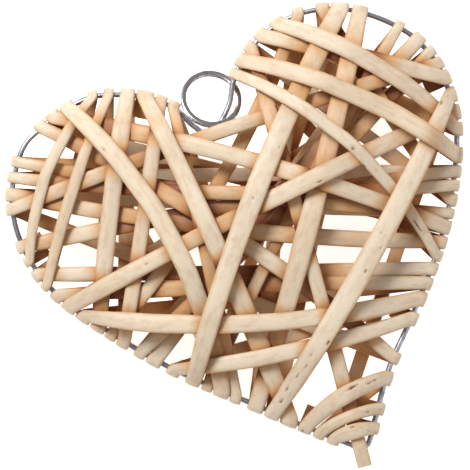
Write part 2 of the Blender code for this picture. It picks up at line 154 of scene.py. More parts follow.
rim = Rim(WIRE_POINTS)
solid_corners = int(rim.length / SOLID_WIRE_STEP)
solid_wire = np.array([rim.at(100 * k / solid_corners) for k in range(solid_corners)])
wire_low, wire_high = (np.array(corner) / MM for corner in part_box("wire_heart"))
middle = (solid_wire.min(0) + solid_wire.max(0)) / 2
SHIFT = np.array([*((wire_low + wire_high)[:2] / 2 - middle), (wire_low + wire_high)[2] / 2])
print("wire", round(rim.length), "mm round, moved by", SHIFT.round(2))

# %% [markdown]
# ## The winding
# Each crossing of the front is one row: where it leaves and reaches the wire, its width and its sideways
# bow. The rows are in winding order, so a later crossing lies on the earlier ones. A strip keeps taut over
# what it crosses, like a string over pegs, which is why its height is found from the pile below it and
# isn't typed in.

# %% The crossings
# Name, the percent where it leaves the wire and the one where it reaches it, width and bow in millimetres
CROSSINGS = [
    ("rib", 36.2, 75.5, 6.4, 0.5),
    ("low", 37.3, 73.2, 6.6, -1.5),
    ("slope", 69.2, 10.8, 6.0, -7.0),
    ("lean", 19.6, 65.5, 7.5, -3.0),
    ("lath", 20.8, 66.6, 6.0, 2.0),
    ("fall", 12.6, 31.6, 6.5, -1.5),
    ("deep", 18.0, 61.4, 5.5, -3.0),
    ("belt", 29.5, 77.8, 6.6, -1.8),
    ("west", 81.4, 34.4, 6.8, -4.5),
    ("ledge", 83.8, 32.4, 5.5, -3.0),
    ("sill", 82.7, 30.4, 6.0, -5.0),
    ("cross", 43.1, 87.0, 6.7, -6.0),
    ("collar", 80.6, 22.3, 6.2, 2.5),
    ("shelf", 7.2, 23.1, 7.4, 0.5),
    ("notch", 97.0, 59.3, 5.5, 0.5),
    ("spine", 5.9, 50.0, 6.3, 0.5),
    ("mast", 15.1, 57.0, 8.6, 1.7),
    ("yoke", 87.9, 33.2, 7.2, 4.8),
    ("stave", 95.9, 68.2, 6.2, 0.5),
    ("slat", 91.0, 76.7, 5.0, -7.0),
    ("batten", 92.1, 74.7, 5.0, -2.1),
    ("post", 93.4, 70.2, 7.4, -1.2),
    ("sash", 72.2, 25.2, 7.4, 2.0),
    ("fork", 94.7, 55.1, 8.0, 2.0),
    ("diag", 88.9, 60.5, 7.6, 12.5),
    ("girdle", 38.5, 71.2, 7.6, 6.8),
    ("skirt", 40.1, 64.0, 6.7, 3.0),
    ("heel", 44.6, 54.6, 7.0, -3.2),
    ("sole", 46.8, 53.7, 6.0, -2.0),
    ("king", 13.6, 62.3, 8.6, -5.0),
    ("arch", 9.2, 26.1, 7.2, 6.0),
    ("brace", 4.6, 35.5, 5.4, 10.5),
    ("great", 23.8, 56.1, 8.2, 3.4),
    ("crown", 5.3, 28.5, 7.6, 6.0),
    ("toe", 48.2, 51.9, 6.0, -1.0),
]
LOOSE_CROSSING = "spine"
LOOSE_REACH = 8.0
STRIP_THICKNESS = 1.5
FOLD_GAP = 0.7
FOLD_SPREAD_MAX = 1.08
FOLD_NARROWING = 0.82
BARE_BEFORE_CLEFT = 17.6
BARE_AFTER_CLEFT = 25.4
LEAST_SLANT = 0.1
NUDGE_ROUNDS = 400
print(len(CROSSINGS), "crossings on the front")


def apart(a, b):
    """The signed way from percent a to percent b, the short way round."""
    return (b - a + 50) % 100 - 50


class End:
    """Where one front crossing meets the wire."""

    def __init__(self, crossing, side, percent, width, footprint):
        self.crossing, self.side, self.percent = crossing, side, percent
        self.width, self.footprint, self.back = width, footprint, None


def is_loose(end):
    """Whether the strip runs out past the wire here, as the stub over the tip."""
    return CROSSINGS[end.crossing][0] == LOOSE_CROSSING and end.side == 1


# %% Spread the folds along the wire
def lay_out_ends():
    """The ends of all crossings, nudged along the wire until no two folds share a stretch of it."""
    ends = []
    for number, (_, start, finish, width, _) in enumerate(CROSSINGS):
        chord = unit(rim.at(finish) - rim.at(start))
        for side, percent in enumerate((start, finish)):
            slant = abs(float(chord @ rim.inward(percent)))
            spread = FOLD_NARROWING * min(1 / max(slant, LEAST_SLANT), FOLD_SPREAD_MAX)
            ends.append(End(number, side, percent, width, width * spread))
    ends.sort(key=lambda end: end.percent)
    for _ in range(NUDGE_ROUNDS):
        for one, other in zip(ends, ends[1:] + ends[:1]):
            room = ((other.percent - one.percent) % 100) * rim.length / 100
            if room > rim.length / 2:
                room -= rim.length
            short = (one.footprint + other.footprint) / 2 + FOLD_GAP - room
            if short > 0:
                nudge = 100 * short / rim.length / 2
                one.percent -= nudge
                other.percent += nudge
        for end in ends:
            half = end.footprint / 2
            if end.percent > 50:
                end.percent = min(end.percent, 100 - 100 * (BARE_BEFORE_CLEFT + half) / rim.length)
            else:
                end.percent = max(end.percent, 100 * (BARE_AFTER_CLEFT + half) / rim.length)
    return ends


# %% Join the ends behind the heart
BACK_LARGEST_SHIFT = 30.0
BACK_SHORTEST = 25.0
BACK_LEAST_SLANT = 0.42
BACK_TESTED = np.linspace(0.1, 0.9, 9)[:, None]
CROSSINGS_PER_STRIP = 4


def pair_on_back(ends, by_place):
    """Joins ends by crossings on the back, each about parallel to the front crossing that it comes from."""
    folded = [end for end in ends if not is_loose(end)]
    options = []
    for number, one in enumerate(folded):
        for other in folded[number + 1:]:
            chord = rim.at(other.percent) - rim.at(one.percent)
            length = np.linalg.norm(chord)
            if one.crossing == other.crossing or length < BACK_SHORTEST:
                continue
            slant = min(chord @ rim.inward(one.percent), -chord @ rim.inward(other.percent)) / length
            inner = rim.at(one.percent) + BACK_TESTED * chord
            if slant < BACK_LEAST_SLANT or not rim.holds(inner).all():
                continue
            here = by_place[one.crossing, 1 - one.side].percent
            there = by_place[other.crossing, 1 - other.side].percent
            shift = abs(apart(here, other.percent)) + abs(apart(there, one.percent))
            if shift < BACK_LARGEST_SHIFT:
                options.append((shift, number, one, other))
    strip_of = {number: {number} for number in range(len(CROSSINGS))}
    for _, _, one, other in sorted(options, key=lambda option: option[:2]):
        if one.back is not None or other.back is not None:
            continue
        joined = strip_of[one.crossing] | strip_of[other.crossing]
        if strip_of[one.crossing] is not strip_of[other.crossing] and len(joined) <= CROSSINGS_PER_STRIP:
            one.back, other.back = other, one
            for number in joined:
                strip_of[number] = joined


# %% Flat runs between two places on the wire
STATION_SPACING = 30.0
RISE_RUN = 4.0
TURN_RUN = 12.0
MITRE_RUN = 16.0
TAIL_LENGTH = 9.0
WIRE_CLEARANCE = 0.35
RISE_SHARE_MAX = 0.12
TURN_SHARE_MAX = 0.3
INNER_START = 1.5
fold_radius = WIRE_DIAMETER / 2 + WIRE_CLEARANCE + STRIP_THICKNESS / 2


class Band:
    """One flat run of a strip in plan: rungs from its right edge to its left, each with a height."""

    def __init__(self, centres, halves):
        self.centres, self.halves = np.array(centres), np.array(halves)
        self.heights = np.zeros(len(centres))


def run_between(start, finish, width, bow, facing):
    """A band between two rim places, each (percent, footprint). facing is +1 on the front, -1 behind."""
    a, b = rim.at(start[0]), rim.at(finish[0])
    length = np.linalg.norm(b - a)
    along = (b - a) / length
    control = (a + b) / 2 + 2 * bow * np.array([-along[1], along[0]])
    count = max(3, int(round(length / STATION_SPACING)) + 1)
    inner = np.linspace(0, 1, count)
    near, next_on = min(RISE_RUN / length, RISE_SHARE_MAX), min(TURN_RUN / length, TURN_SHARE_MAX)
    inner = inner[(inner > INNER_START * next_on) & (inner < 1 - INNER_START * next_on)]
    rises = [near, 1 - near] if facing > 0 else []
    shares = np.unique(np.r_[0, rises, next_on, inner, 1 - next_on, 1])
    rim_halves = [way * facing * rim.tangent(percent) * footprint / 2
                  for way, (percent, footprint) in ((1, start), (-1, finish))]
    centres, halves = [], []
    for share in shares:
        slope = unit(part_way(control - a, b - control, share))
        square = facing * np.array([-slope[1], slope[0]]) * width / 2
        end_half, reach = (rim_halves[0], share) if share < 0.5 else (rim_halves[1], 1 - share)
        blend = eased(min(reach * length / MITRE_RUN, 1))
        centres.append((1 - share)**2 * a + 2 * share * (1 - share) * control + share**2 * b)
        halves.append(part_way(end_half, square, blend))
    return Band(centres, halves)


def tail(end, facing):
    """The short end of a strip after its last fold, straight inwards from the wire."""
    foot = rim.at(end.percent)
    half = facing * rim.tangent(end.percent) * end.footprint / 2
    return Band([foot, foot + rim.inward(end.percent) * TAIL_LENGTH], [half, half])


def loose_band(band):
    """A front crossing that runs out over the wire: its last rung moves past the tip."""
    way = unit(band.centres[-1] - band.centres[-2])
    square = np.array([-way[1], way[0]]) * np.linalg.norm(band.halves[-3])
    band.halves[-1] = band.halves[-2] = square
    band.centres[-1] = band.centres[-1] + way * LOOSE_REACH
    return band


# %% [markdown]
# ## The split ring's place
# The ring is linked round the wire, so it passes over the wire where the wire enters its eye and under the
# first fold where the wire leaves. Those two places fix its tilt. The real ring is two turns of flat steel
# with a jog between them, which is a path with a section swept along it.

# %% The ring's path
RING_CENTRE = (4.1, 57.7)
RING_MEAN_RADIUS = 11.8
RING_BAND_WIDTH = 2.3
RING_BAND_HEIGHT = 1.0
RING_TURN_GAP = 0.3
RING_END_ANGLE = -2.0
RING_JOG_ANGLE = 40.0
RING_STEP_ANGLE = 18.0
RING_LEAD = 10.0
RING_SEARCH = np.linspace(0, 12, 500)
STRIP_CLEARANCE = 0.3


class Ring:
    """The split ring: over the wire where that enters its eye, and under the first fold where it leaves."""

    def __init__(self):
        centre = np.array(RING_CENTRE)
        inside = [p for p in RING_SEARCH if np.linalg.norm(rim.at(p) - centre) < RING_MEAN_RADIUS]
        over, under = (np.arctan2(*(rim.at(p) - centre)[::-1]) for p in (inside[0], inside[-1]))
        over, under = over + np.radians(RING_LEAD), under - np.radians(RING_LEAD)
        opening = (under - over) % (2 * np.pi)
        height = 2 * RING_BAND_HEIGHT + RING_TURN_GAP
        above = (WIRE_DIAMETER + height) / 2 + WIRE_CLEARANCE
        below = fold_radius + (STRIP_THICKNESS + height) / 2 + STRIP_CLEARANCE
        self.steepest = over + opening / 2 + np.pi / 2
        self.tilt = np.arcsin((above + below) / (2 * RING_MEAN_RADIUS * np.sin(opening / 2)))
        self.centre = np.array([*centre, (above - below) / 2])
        down = np.array([np.cos(self.steepest), np.sin(self.steepest), 0.0])
        self.low = down * np.cos(self.tilt) - np.array([0, 0, 1.0]) * np.sin(self.tilt)
        self.side = np.array([-down[1], down[0], 0.0])
        self.axis = np.cross(self.low, self.side)

    def stations(self, step_angle=RING_STEP_ANGLE):
        """The flat wire from its end below to its end above, two turns on: centre, half width and normal."""
        lift = RING_BAND_HEIGHT + RING_TURN_GAP
        total = 720.0 - RING_JOG_ANGLE - RING_STEP_ANGLE
        found = []
        for turned in np.linspace(0, total, int(total / step_angle) + 1):
            share = np.clip((turned - 360 + RING_JOG_ANGLE) / RING_JOG_ANGLE, 0, 1)
            angle = np.radians(RING_END_ANGLE + turned) - self.steepest
            out = np.cos(angle) * self.low + np.sin(angle) * self.side
            height = lift * (eased(share) - 0.5)
            found.append((self.centre + out * RING_MEAN_RADIUS + height * self.axis,
                          out * RING_BAND_WIDTH / 2, self.axis))
        return found

    def pile(self):
        """Points on the ring's upper side, which the front crossings stay clear of."""
        return np.array([centre + across * half + (0, 0, RING_BAND_HEIGHT / 2)
                         for centre, half, _ in self.stations() for across in (-1, 0, 1)])


ring = Ring()
print("ring tilted by", round(float(np.degrees(ring.tilt)), 1), "degrees")

# %% [markdown]
# ## Taut strips
# A strip stretched over a pile takes the shape of an upper hull: straight between the highest things that
# it touches. The hull is found first, and then each height is raised by the least that clears what lies
# under it.

# %% Lay the strips on each other
CORE_HEIGHT = 7.0
CORE_SHOULDER = 40.0
CORE_GRID = 7.0
SIDE_CLEARANCE = 0.3
PILE_STEP = 1.2
LIFT_SWEEPS = 40
SHARE_SLOTS = 12
END_REACH = 1.0
LEAST_RUN = 1e-6


def core_points():
    """The hollow core's surface, which the lowest crossings stay clear of."""
    low, high = rim.line.min(0), rim.line.max(0)
    grid = np.array([(x, y) for x in np.arange(low[0], high[0], CORE_GRID)
                     for y in np.arange(low[1], high[1], CORE_GRID)])
    grid = grid[rim.holds(grid)]
    depth = np.minimum(rim.distance(grid) / CORE_SHOULDER, 1)
    return np.column_stack([grid, CORE_HEIGHT * np.sin(depth * np.pi / 2)])


def lift(heights, index, share, need):
    """Raises the heights as little as possible until the straight runs between them clear every need."""
    slot = np.round(share * SHARE_SLOTS)
    keep = []
    for k in np.lexsort((-need, slot, index)):
        if not keep or (index[k], slot[k]) != (index[keep[-1]], slot[keep[-1]]):
            keep.append(k)
    heights = heights.copy()
    pull = np.zeros(len(keep))
    for _ in range(LIFT_SWEEPS):
        for n, k in enumerate(keep):
            i, t = index[k], share[k]
            lack = need[k] - (1 - t) * heights[i] - t * heights[i + 1]
            change = max(-pull[n], lack / ((1 - t)**2 + t**2))
            pull[n] += change
            heights[i] += change * (1 - t)
            heights[i + 1] += change * t
    return heights


def touched(band, pile):
    """What lies under a band: the segment above it, its share of that segment, and the height it needs."""
    met = []
    for i in range(len(band.centres) - 1):
        c0, c1, h0, h1 = band.centres[i], band.centres[i + 1], band.halves[i], band.halves[i + 1]
        u0, u1 = unit(h0), unit(h1)
        n0, n1 = np.array([u0[1], -u0[0]]), np.array([u1[1], -u1[0]])
        if n0 @ (c1 - c0) < 0:
            n0, n1 = -n0, -n1
        d0, d1 = (pile[:, :2] - c0) @ n0, (c1 - pile[:, :2]) @ n1
        near = (d0 > -SIDE_CLEARANCE) & (d1 > -SIDE_CLEARANCE) & (d0 + d1 > LEAST_RUN)
        if not near.any():
            continue
        share = np.clip(d0[near] / (d0 + d1)[near], 0, 1)
        half = h0 + share[:, None] * (h1 - h0)
        size = np.linalg.norm(half, axis=1)
        across = np.abs(np.sum((pile[near, :2] - c0 - share[:, None] * (c1 - c0)) * half, axis=1)) / size
        under = across < size + SIDE_CLEARANCE
        need = pile[near][under, 2] + STRIP_CLEARANCE + STRIP_THICKNESS / 2
        met.append(np.column_stack([np.full(need.size, i), share[under], need]))
    return np.vstack(met) if met else np.zeros((0, 3))


def settle(band, pile, floor):
    """Lays a band taut over the pile of surface points. Returns the pile with the band's top added."""
    places = travelled(band.centres)
    met = touched(band, pile)
    index = met[:, 0].astype(int)
    reach = places[index] + met[:, 1] * (places[index + 1] - places[index]) if len(met) else met[:, 0]
    starts = [floor, floor]
    for k, mask in enumerate((reach < END_REACH, reach > places[-1] - END_REACH)):
        if mask.any():
            starts[k] = max(floor, met[mask, 2].max())
    corners = [(0.0, starts[0]), (places[-1], starts[1])]
    corners = sorted(corners + [(float(s), float(z)) for s, z in zip(reach, met[:, 2])])
    hull = []
    for corner in corners:
        while len(hull) > 1:
            (x0, z0), (x1, z1) = hull[-2], hull[-1]
            if (z1 - z0) * (corner[0] - x0) > (corner[1] - z0) * (x1 - x0):
                break
            hull.pop()
        hull.append(corner)
    hull = np.array(hull)
    band.heights = lift(np.interp(places, hull[:, 0], hull[:, 1]), index, met[:, 1], met[:, 2])
    samples = []
    for i in range(len(places) - 1):
        for share in np.linspace(0, 1, int((places[i + 1] - places[i]) / PILE_STEP) + 2):
            centre, half, height = (part_way(rungs[i], rungs[i + 1], share)
                                    for rungs in (band.centres, band.halves, band.heights))
            for across in np.linspace(-1, 1, int(2 * np.linalg.norm(half) / PILE_STEP) + 2):
                samples.append((*(centre + across * half), height + STRIP_THICKNESS / 2))
    return np.vstack([pile, samples])


# %% Wind the heart
ends = lay_out_ends()
by_place = {(end.crossing, end.side): end for end in ends}
pair_on_back(ends, by_place)
fronts, pile = [], np.vstack([core_points(), ring.pile()])
for number, (name, _, _, width, bow) in enumerate(CROSSINGS):
    start, finish = by_place[number, 0], by_place[number, 1]
    band = run_between((start.percent, start.footprint), (finish.percent, finish.footprint), width, bow, 1)
    band = loose_band(band) if name == LOOSE_CROSSING else band
    pile = settle(band, pile, fold_radius)
    fronts.append(band)

strips, threaded = [], set()
for number, side in sorted(by_place):
    if number in threaded or by_place[number, side].back is not None:
        continue
    chain, end = [], by_place[number, side]
    while end is not None:
        chain.append((end.crossing, end.side))
        threaded.add(end.crossing)
        end = by_place[end.crossing, 1 - end.side].back
    strips.append(chain)

backs, pile = {}, core_points()
for place, end in sorted(by_place.items()):
    if end.back is None and not is_loose(end):
        backs[place] = tail(end, -1)
        pile = settle(backs[place], pile, fold_radius)
leaving_ends = [by_place[crossing, 1 - side] for chain in strips for crossing, side in chain[:-1]]
for leaving in sorted(leaving_ends, key=lambda end: max(end.crossing, end.back.crossing)):
    reached = leaving.back
    band = run_between((leaving.percent, leaving.footprint), (reached.percent, reached.footprint),
                       min(leaving.width, reached.width), 0.0, -1)
    pile = settle(band, pile, fold_radius)
    backs[leaving.crossing, leaving.side] = band
print(len(strips), "strips of", [len(chain) for chain in strips], "crossings")

# %% [markdown]
# ## From straight runs to a bent strip
# A real strip bends in soft curves, lies a little askew and changes width and thickness as it grew. Each
# strip's path is cut into short steps and relaxed, which rounds its corners, while its folds keep close to
# the wire. A few strips are split wider in the middle of a crossing. The path then carries all that a
# section needs to follow it: where its middle is, which way it is wide, and which way its bark side faces.

# %% The stations of one strip
FOLD_ANGLES = np.arange(0, 181, 15)
STEP = 1.6
RELAX_ROUNDS = 10
RELAX_SHARE = 0.6
FOLD_SOFTNESS = 0.12
SOFTENING_RUN = 9.0
# The share of its width that a crossing gains at its middle
BELLIES = {"toe": 0.5, "heel": 0.12, "king": 0.06, "great": 0.05}


def fold_stations(end, top, bottom, downwards):
    """The turn round the wire, from front to back or the other way."""
    foot, outward = rim.at(end.percent), -rim.inward(end.percent)
    half = rim.tangent(end.percent) * end.footprint / 2 * (-1 if downwards else 1)
    stations = []
    for degrees in FOLD_ANGLES if downwards else FOLD_ANGLES[::-1]:
        angle = np.radians(degrees)
        height = np.cos(angle) * (top if np.cos(angle) > 0 else bottom)
        place = foot + outward * fold_radius * np.sin(angle)
        normal = np.array([*(outward * np.sin(angle)), np.cos(angle)])
        stations.append((np.array([*place, height]), np.array([*half, 0.0]), normal, FOLD_SOFTNESS,
                         end.crossing, 0.0))
    return stations


def band_stations(band, facing, crossing, backwards=False, skip_first=True, skip_last=True):
    """The stations of a flat run, cut into short steps. The ones at the wire belong to its folds."""
    count = len(band.centres)
    places = travelled(band.centres)
    fine = np.linspace(0, places[-1], max(3, int(places[-1] / STEP)))
    fine = fine[1 if skip_first else 0:len(fine) - (1 if skip_last else 0)]
    if backwards:
        fine = fine[::-1]
    sign = -1 if backwards else 1
    belly = BELLIES.get(CROSSINGS[crossing][0], 0.0) if facing > 0 else 0.0
    stations = []
    for place in fine:
        x, y, half_x, half_y, height = (np.interp(place, places, column) for column in
                                        (*band.centres.T, *band.halves.T, band.heights))
        softness = float(np.clip(min(place, places[-1] - place) / SOFTENING_RUN, FOLD_SOFTNESS, 1))
        stations.append((np.array([x, y, facing * height]), np.array([sign * half_x, sign * half_y, 0.0]),
                         np.array([0.0, 0.0, facing]), softness, crossing,
                         belly * np.sin(np.pi * place / places[-1])))
    return stations


def strip_stations(chain):
    """All stations of one long strip: centre, half width, outward normal, softness, crossing, belly."""
    stations, arriving = [], None
    for crossing, side in chain:
        entering, leaving = by_place[crossing, side], by_place[crossing, 1 - side]
        front = fronts[crossing]
        first, last = (front.heights[0], front.heights[-1])[::-1 if side else 1]
        if arriving is None and not is_loose(entering):
            arriving = backs[crossing, side]
            stations += band_stations(arriving, -1, crossing, backwards=True, skip_last=False)
            stations += fold_stations(entering, first, arriving.heights[0], downwards=False)
        elif arriving is not None:
            stations += fold_stations(entering, first, arriving.heights[-1], downwards=False)
        loose = is_loose(entering) or is_loose(leaving)
        stations += band_stations(front, 1, crossing, backwards=side == 1, skip_last=not loose)
        if is_loose(leaving):
            break
        arriving = backs[crossing, 1 - side]
        stations += fold_stations(leaving, last, arriving.heights[0], downwards=True)
        stations += band_stations(arriving, -1, crossing, skip_last=leaving.back is not None)
    return stations


# %% Wander and relaxing
# How far each quality of a strip wanders, over what length in millimetres, and from which first seed
ROLL_WANDER = (4.0, 23, 100)
WIDTH_WANDER = (0.07, 31, 200)
THICKNESS_WANDER = (0.10, 19, 300)
TONE_WANDER = (0.35, 45, 400)
TONE_SEED = 11


def wander(places, number, amount, length, seed):
    """A soft random curve along a strip, within about the amount, that changes over the given length."""
    source = np.random.default_rng(seed + number)
    knots = source.uniform(-1, 1, int(places[-1] / length) + 4)
    at = places / length
    i = at.astype(int)
    return amount * part_way(knots[i], knots[i + 1], eased(at - i))


def relax(values, softness, rounds):
    """Evens out a path or a quantity along it, more where it is soft. Its two ends stay."""
    values = values.copy()
    softness = np.broadcast_to(softness, len(values))[1:-1, None]
    for _ in range(rounds):
        middle = (values[:-2] + values[2:]) / 2
        values[1:-1] += RELAX_SHARE * softness * (middle - values[1:-1])
    return values


def relax_amounts(amounts, rounds):
    """The same for one amount a station, equally soft all along."""
    return relax(amounts[:, None], 1.0, rounds)[:, 0]


def lengths(vectors):
    """Each vector's length, as a column that the vectors can be divided by."""
    return np.linalg.norm(vectors, axis=1)[:, None]


# %% [markdown]
# ## Painted shade deep in the winding
# A strip that lies in the open stays pale, and one deep in the winding is painted darker and browner, for
# the shade and the warm bounced light that lie there. Rays go out from each place on a strip into the half
# of space that its face looks at. The share of them that meets the winding within a short reach is kept on
# the path, for each face, and the finish paints it as shade.

# %% The shelter of a place
SKY_RAYS = 28
SKY_DEPTH = 0.85
SHELTER_REACH = 22.0
SHELTER_ROUNDS = 6
GOLDEN_ANGLE = np.pi * (3 - np.sqrt(5))


def packed_winding():
    """All packed strips as one surface, to measure what each place lies under."""
    corners, faces = [], []
    for name in sorted(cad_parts):
        if name.startswith("willow_strip"):
            node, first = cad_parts[name], len(corners)
            corners += [node.matrix_world @ vertex.co for vertex in node.data.vertices]
            faces += [[first + k for k in face.vertices] for face in node.data.polygons]
    return corners, faces


winding = BVHTree.FromPolygons(*packed_winding())


def shelter(places, normals):
    """How much of the sky over each place the winding hides: 0 in the open, 1 deep inside."""
    hidden = np.zeros(len(places))
    for ray in range(SKY_RAYS):
        rise, turn = 1 - (ray + 0.5) / SKY_RAYS * SKY_DEPTH, ray * GOLDEN_ANGLE
        flat = np.sqrt(1 - rise**2)
        for k, (place, normal) in enumerate(zip(places, normals)):
            facing = 1 if normal[2] >= 0 else -1
            way = Vector((flat * np.cos(turn), flat * np.sin(turn), facing * rise))
            start = Vector(place + np.array(normal) * STRIP_THICKNESS) * MM + way * MM
            if winding.ray_cast(start, way, SHELTER_REACH * MM)[0] is not None:
                hidden[k] += 1 / SKY_RAYS
    return relax_amounts(hidden, SHELTER_ROUNDS)


# %% The path of one strip
# From this far from the tip to this near, in millimetres, a strip gets more and more weathered
WEATHERED_FROM, WEATHERED_TO = 62, 32
LEAST_SOFTNESS = 0.3
SQUARING_PASSES = 3
NORMAL_ROUNDS, WIDTH_ROUNDS, SQUARING_ROUNDS, BELLY_ROUNDS, TONE_ROUNDS = 4, 12, 5, 3, 30


def strip_path(number, chain):
    """The strip as arrays: place, half width, half thickness, way along, and what its finish reads."""
    stations = strip_stations(chain)
    centre, half, normal, softness, crossings, belly = (np.array(column) for column in zip(*stations))
    stiff = np.maximum(softness, LEAST_SOFTNESS)
    centre = relax(centre, softness, RELAX_ROUNDS)
    half = relax(half, stiff, RELAX_ROUNDS)
    normal = relax(normal, stiff, NORMAL_ROUNDS)
    along = travelled(centre)
    tangent = np.gradient(centre, axis=0)
    tangent /= lengths(tangent)
    width = relax(lengths(half), 1.0, WIDTH_ROUNDS)
    for _ in range(SQUARING_PASSES):
        half = relax(half, 1.0, SQUARING_ROUNDS)
        half = half - tangent * np.sum(half * tangent, axis=1)[:, None]
        half *= width / lengths(half)
    half *= 1 + relax_amounts(belly, BELLY_ROUNDS)[:, None]
    crown = np.cross(half, tangent)
    crown /= lengths(crown)
    crown *= np.sign(np.sum(crown * normal, axis=1))[:, None]
    roll = np.radians(wander(along, number, *ROLL_WANDER) * softness)[:, None]
    size = lengths(half)
    side = half / size
    side, crown = np.cos(roll) * side + np.sin(roll) * crown, np.cos(roll) * crown - np.sin(roll) * side
    half = side * size * (1 + wander(along, number, *WIDTH_WANDER))[:, None]
    thick = STRIP_THICKNESS / 2 * (1 + wander(along, number, *THICKNESS_WANDER))
    crossing_tones = np.random.default_rng(TONE_SEED).uniform(-1, 1, len(CROSSINGS) + 1)
    tip_distance = np.linalg.norm(centre[:, :2] - rim.at(50), axis=1)
    qualities = {
        "tone": relax_amounts(crossing_tones[crossings], TONE_ROUNDS) + wander(along, number, *TONE_WANDER),
        # Painted shade: the share of sky that the winding hides over each face, which darkens the finish
        "shade": shelter(centre + SHIFT, crown),
        "inner_shade": shelter(centre + SHIFT, -crown),
        "weathered": np.clip((WEATHERED_FROM - tip_distance) / (WEATHERED_FROM - WEATHERED_TO), 0, 1),
    }
    return centre + SHIFT, half, crown * thick[:, None], along, qualities


paths = [strip_path(number, chain) for number, chain in enumerate(strips)]
print("willow in all", round(sum(path[3][-1] for path in paths) / 1000, 2), "m")

# %% [markdown]
# ## One tree that sweeps a section along a path
# Willow strip, wire and ring are all one section carried along a path, so one Geometry Nodes tree makes
# them. The path is a chain of points that carries vectors: place, the half width (side) and the half
# thickness (crown). The section starts as a circle, and three powers square it off: one across, one for the
# top and one for the bottom. Curve to Mesh carries the attributes of both along, and Set Position then puts
# each point where they say.

# %% Helpers for node trees
def feed(tree, node, inputs):
    """Feeds each input of a node from a socket, or gives it a value."""
    for key, value in dict(inputs).items():
        if isinstance(value, bpy.types.NodeSocket):
            tree.links.new(value, node.inputs[key])
        else:
            node.inputs[key].default_value = value


def add(tree, kind, inputs=(), **settings):
    """Adds a node with its settings and its inputs."""
    made = tree.nodes.new(kind)
    for name, value in settings.items():
        setattr(made, name, value)
    feed(tree, made, inputs)
    return made


def maths(tree, operation, *values, clamp=False):
    return add(tree, "ShaderNodeMath", enumerate(values), operation=operation, use_clamp=clamp).outputs[0]


def vector_maths(tree, operation, *values):
    made = add(tree, "ShaderNodeVectorMath", enumerate(values), operation=operation)
    return made.outputs["Value" if operation in ("LENGTH", "DISTANCE", "DOT_PRODUCT") else "Vector"]


def scaled(tree, vector, amount):
    return add(tree, "ShaderNodeVectorMath", {0: vector, "Scale": amount}, operation="SCALE").outputs[0]


def combined(tree, x, y, z=0.0):
    return add(tree, "ShaderNodeCombineXYZ", {"X": x, "Y": y, "Z": z}).outputs[0]


def split(tree, vector):
    """A vector's x, y and z."""
    return add(tree, "ShaderNodeSeparateXYZ", {0: vector}).outputs


def signed_power(tree, value, power):
    """The value's size raised to a power, with its sign kept."""
    size = maths(tree, "POWER", maths(tree, "ABSOLUTE", value), power)
    return maths(tree, "MULTIPLY", size, maths(tree, "SIGN", value))


def noise(tree, vector, scale, detail, **more):
    inputs = {"Vector": vector, "Scale": scale, "Detail": detail, **more}
    return add(tree, "ShaderNodeTexNoise", inputs).outputs[0]


def swing(tree, value, amount):
    """Turns noise into a change to either side, of up to half the amount."""
    return maths(tree, "MULTIPLY", maths(tree, "SUBTRACT", value, 0.5), amount)


def mapped(tree, value, low, high):
    """A value's share of the way from low to high, held between 0 and 1."""
    return add(tree, "ShaderNodeMapRange", {"Value": value, "From Min": low, "From Max": high}).outputs[0]


def between(tree, share, one, other):
    """The number that lies a share of the way from one to the other."""
    return add(tree, "ShaderNodeMix", {"Factor": share, "A": one, "B": other}, data_type="FLOAT").outputs[0]


def new_tree(name, kind, inputs, outputs):
    """A node group. Its inputs are rows of name, socket type and value, its outputs of name and type."""
    tree = bpy.data.node_groups.new(name, kind)
    for label, socket_type, value in inputs:
        socket = tree.interface.new_socket(label, in_out="INPUT", socket_type=f"NodeSocket{socket_type}")
        if value is not None:
            socket.default_value = value
    for label, socket_type in outputs:
        tree.interface.new_socket(label, in_out="OUTPUT", socket_type=f"NodeSocket{socket_type}")
    return tree, tree.nodes.new("NodeGroupInput").outputs, tree.nodes.new("NodeGroupOutput")


def named(tree, name, data_type="FLOAT_VECTOR"):
    """An attribute that the geometry carries."""
    made = add(tree, "GeometryNodeInputNamedAttribute", {"Name": name}, data_type=data_type)
    return made.outputs["Attribute"]


def stored(tree, geometry, name, value):
    """The geometry with a vector on its points, under a name."""
    inputs = {"Geometry": geometry, "Name": name, "Value": value}
    return add(tree, "GeometryNodeStoreNamedAttribute", inputs, data_type="FLOAT_VECTOR").outputs[0]


def coated(tree, geometry, material, selection=True):
    """The geometry with a material on the selected faces."""
    inputs = {"Geometry": geometry, "Selection": selection, "Material": material}
    return add(tree, "GeometryNodeSetMaterial", inputs).outputs[0]


# %% The sweep
RIDGE_STRETCH = (30.0, 900.0, 900.0)
# The wall's faces have four corners, and a face with more is an end
WALL_CORNERS = 4.5


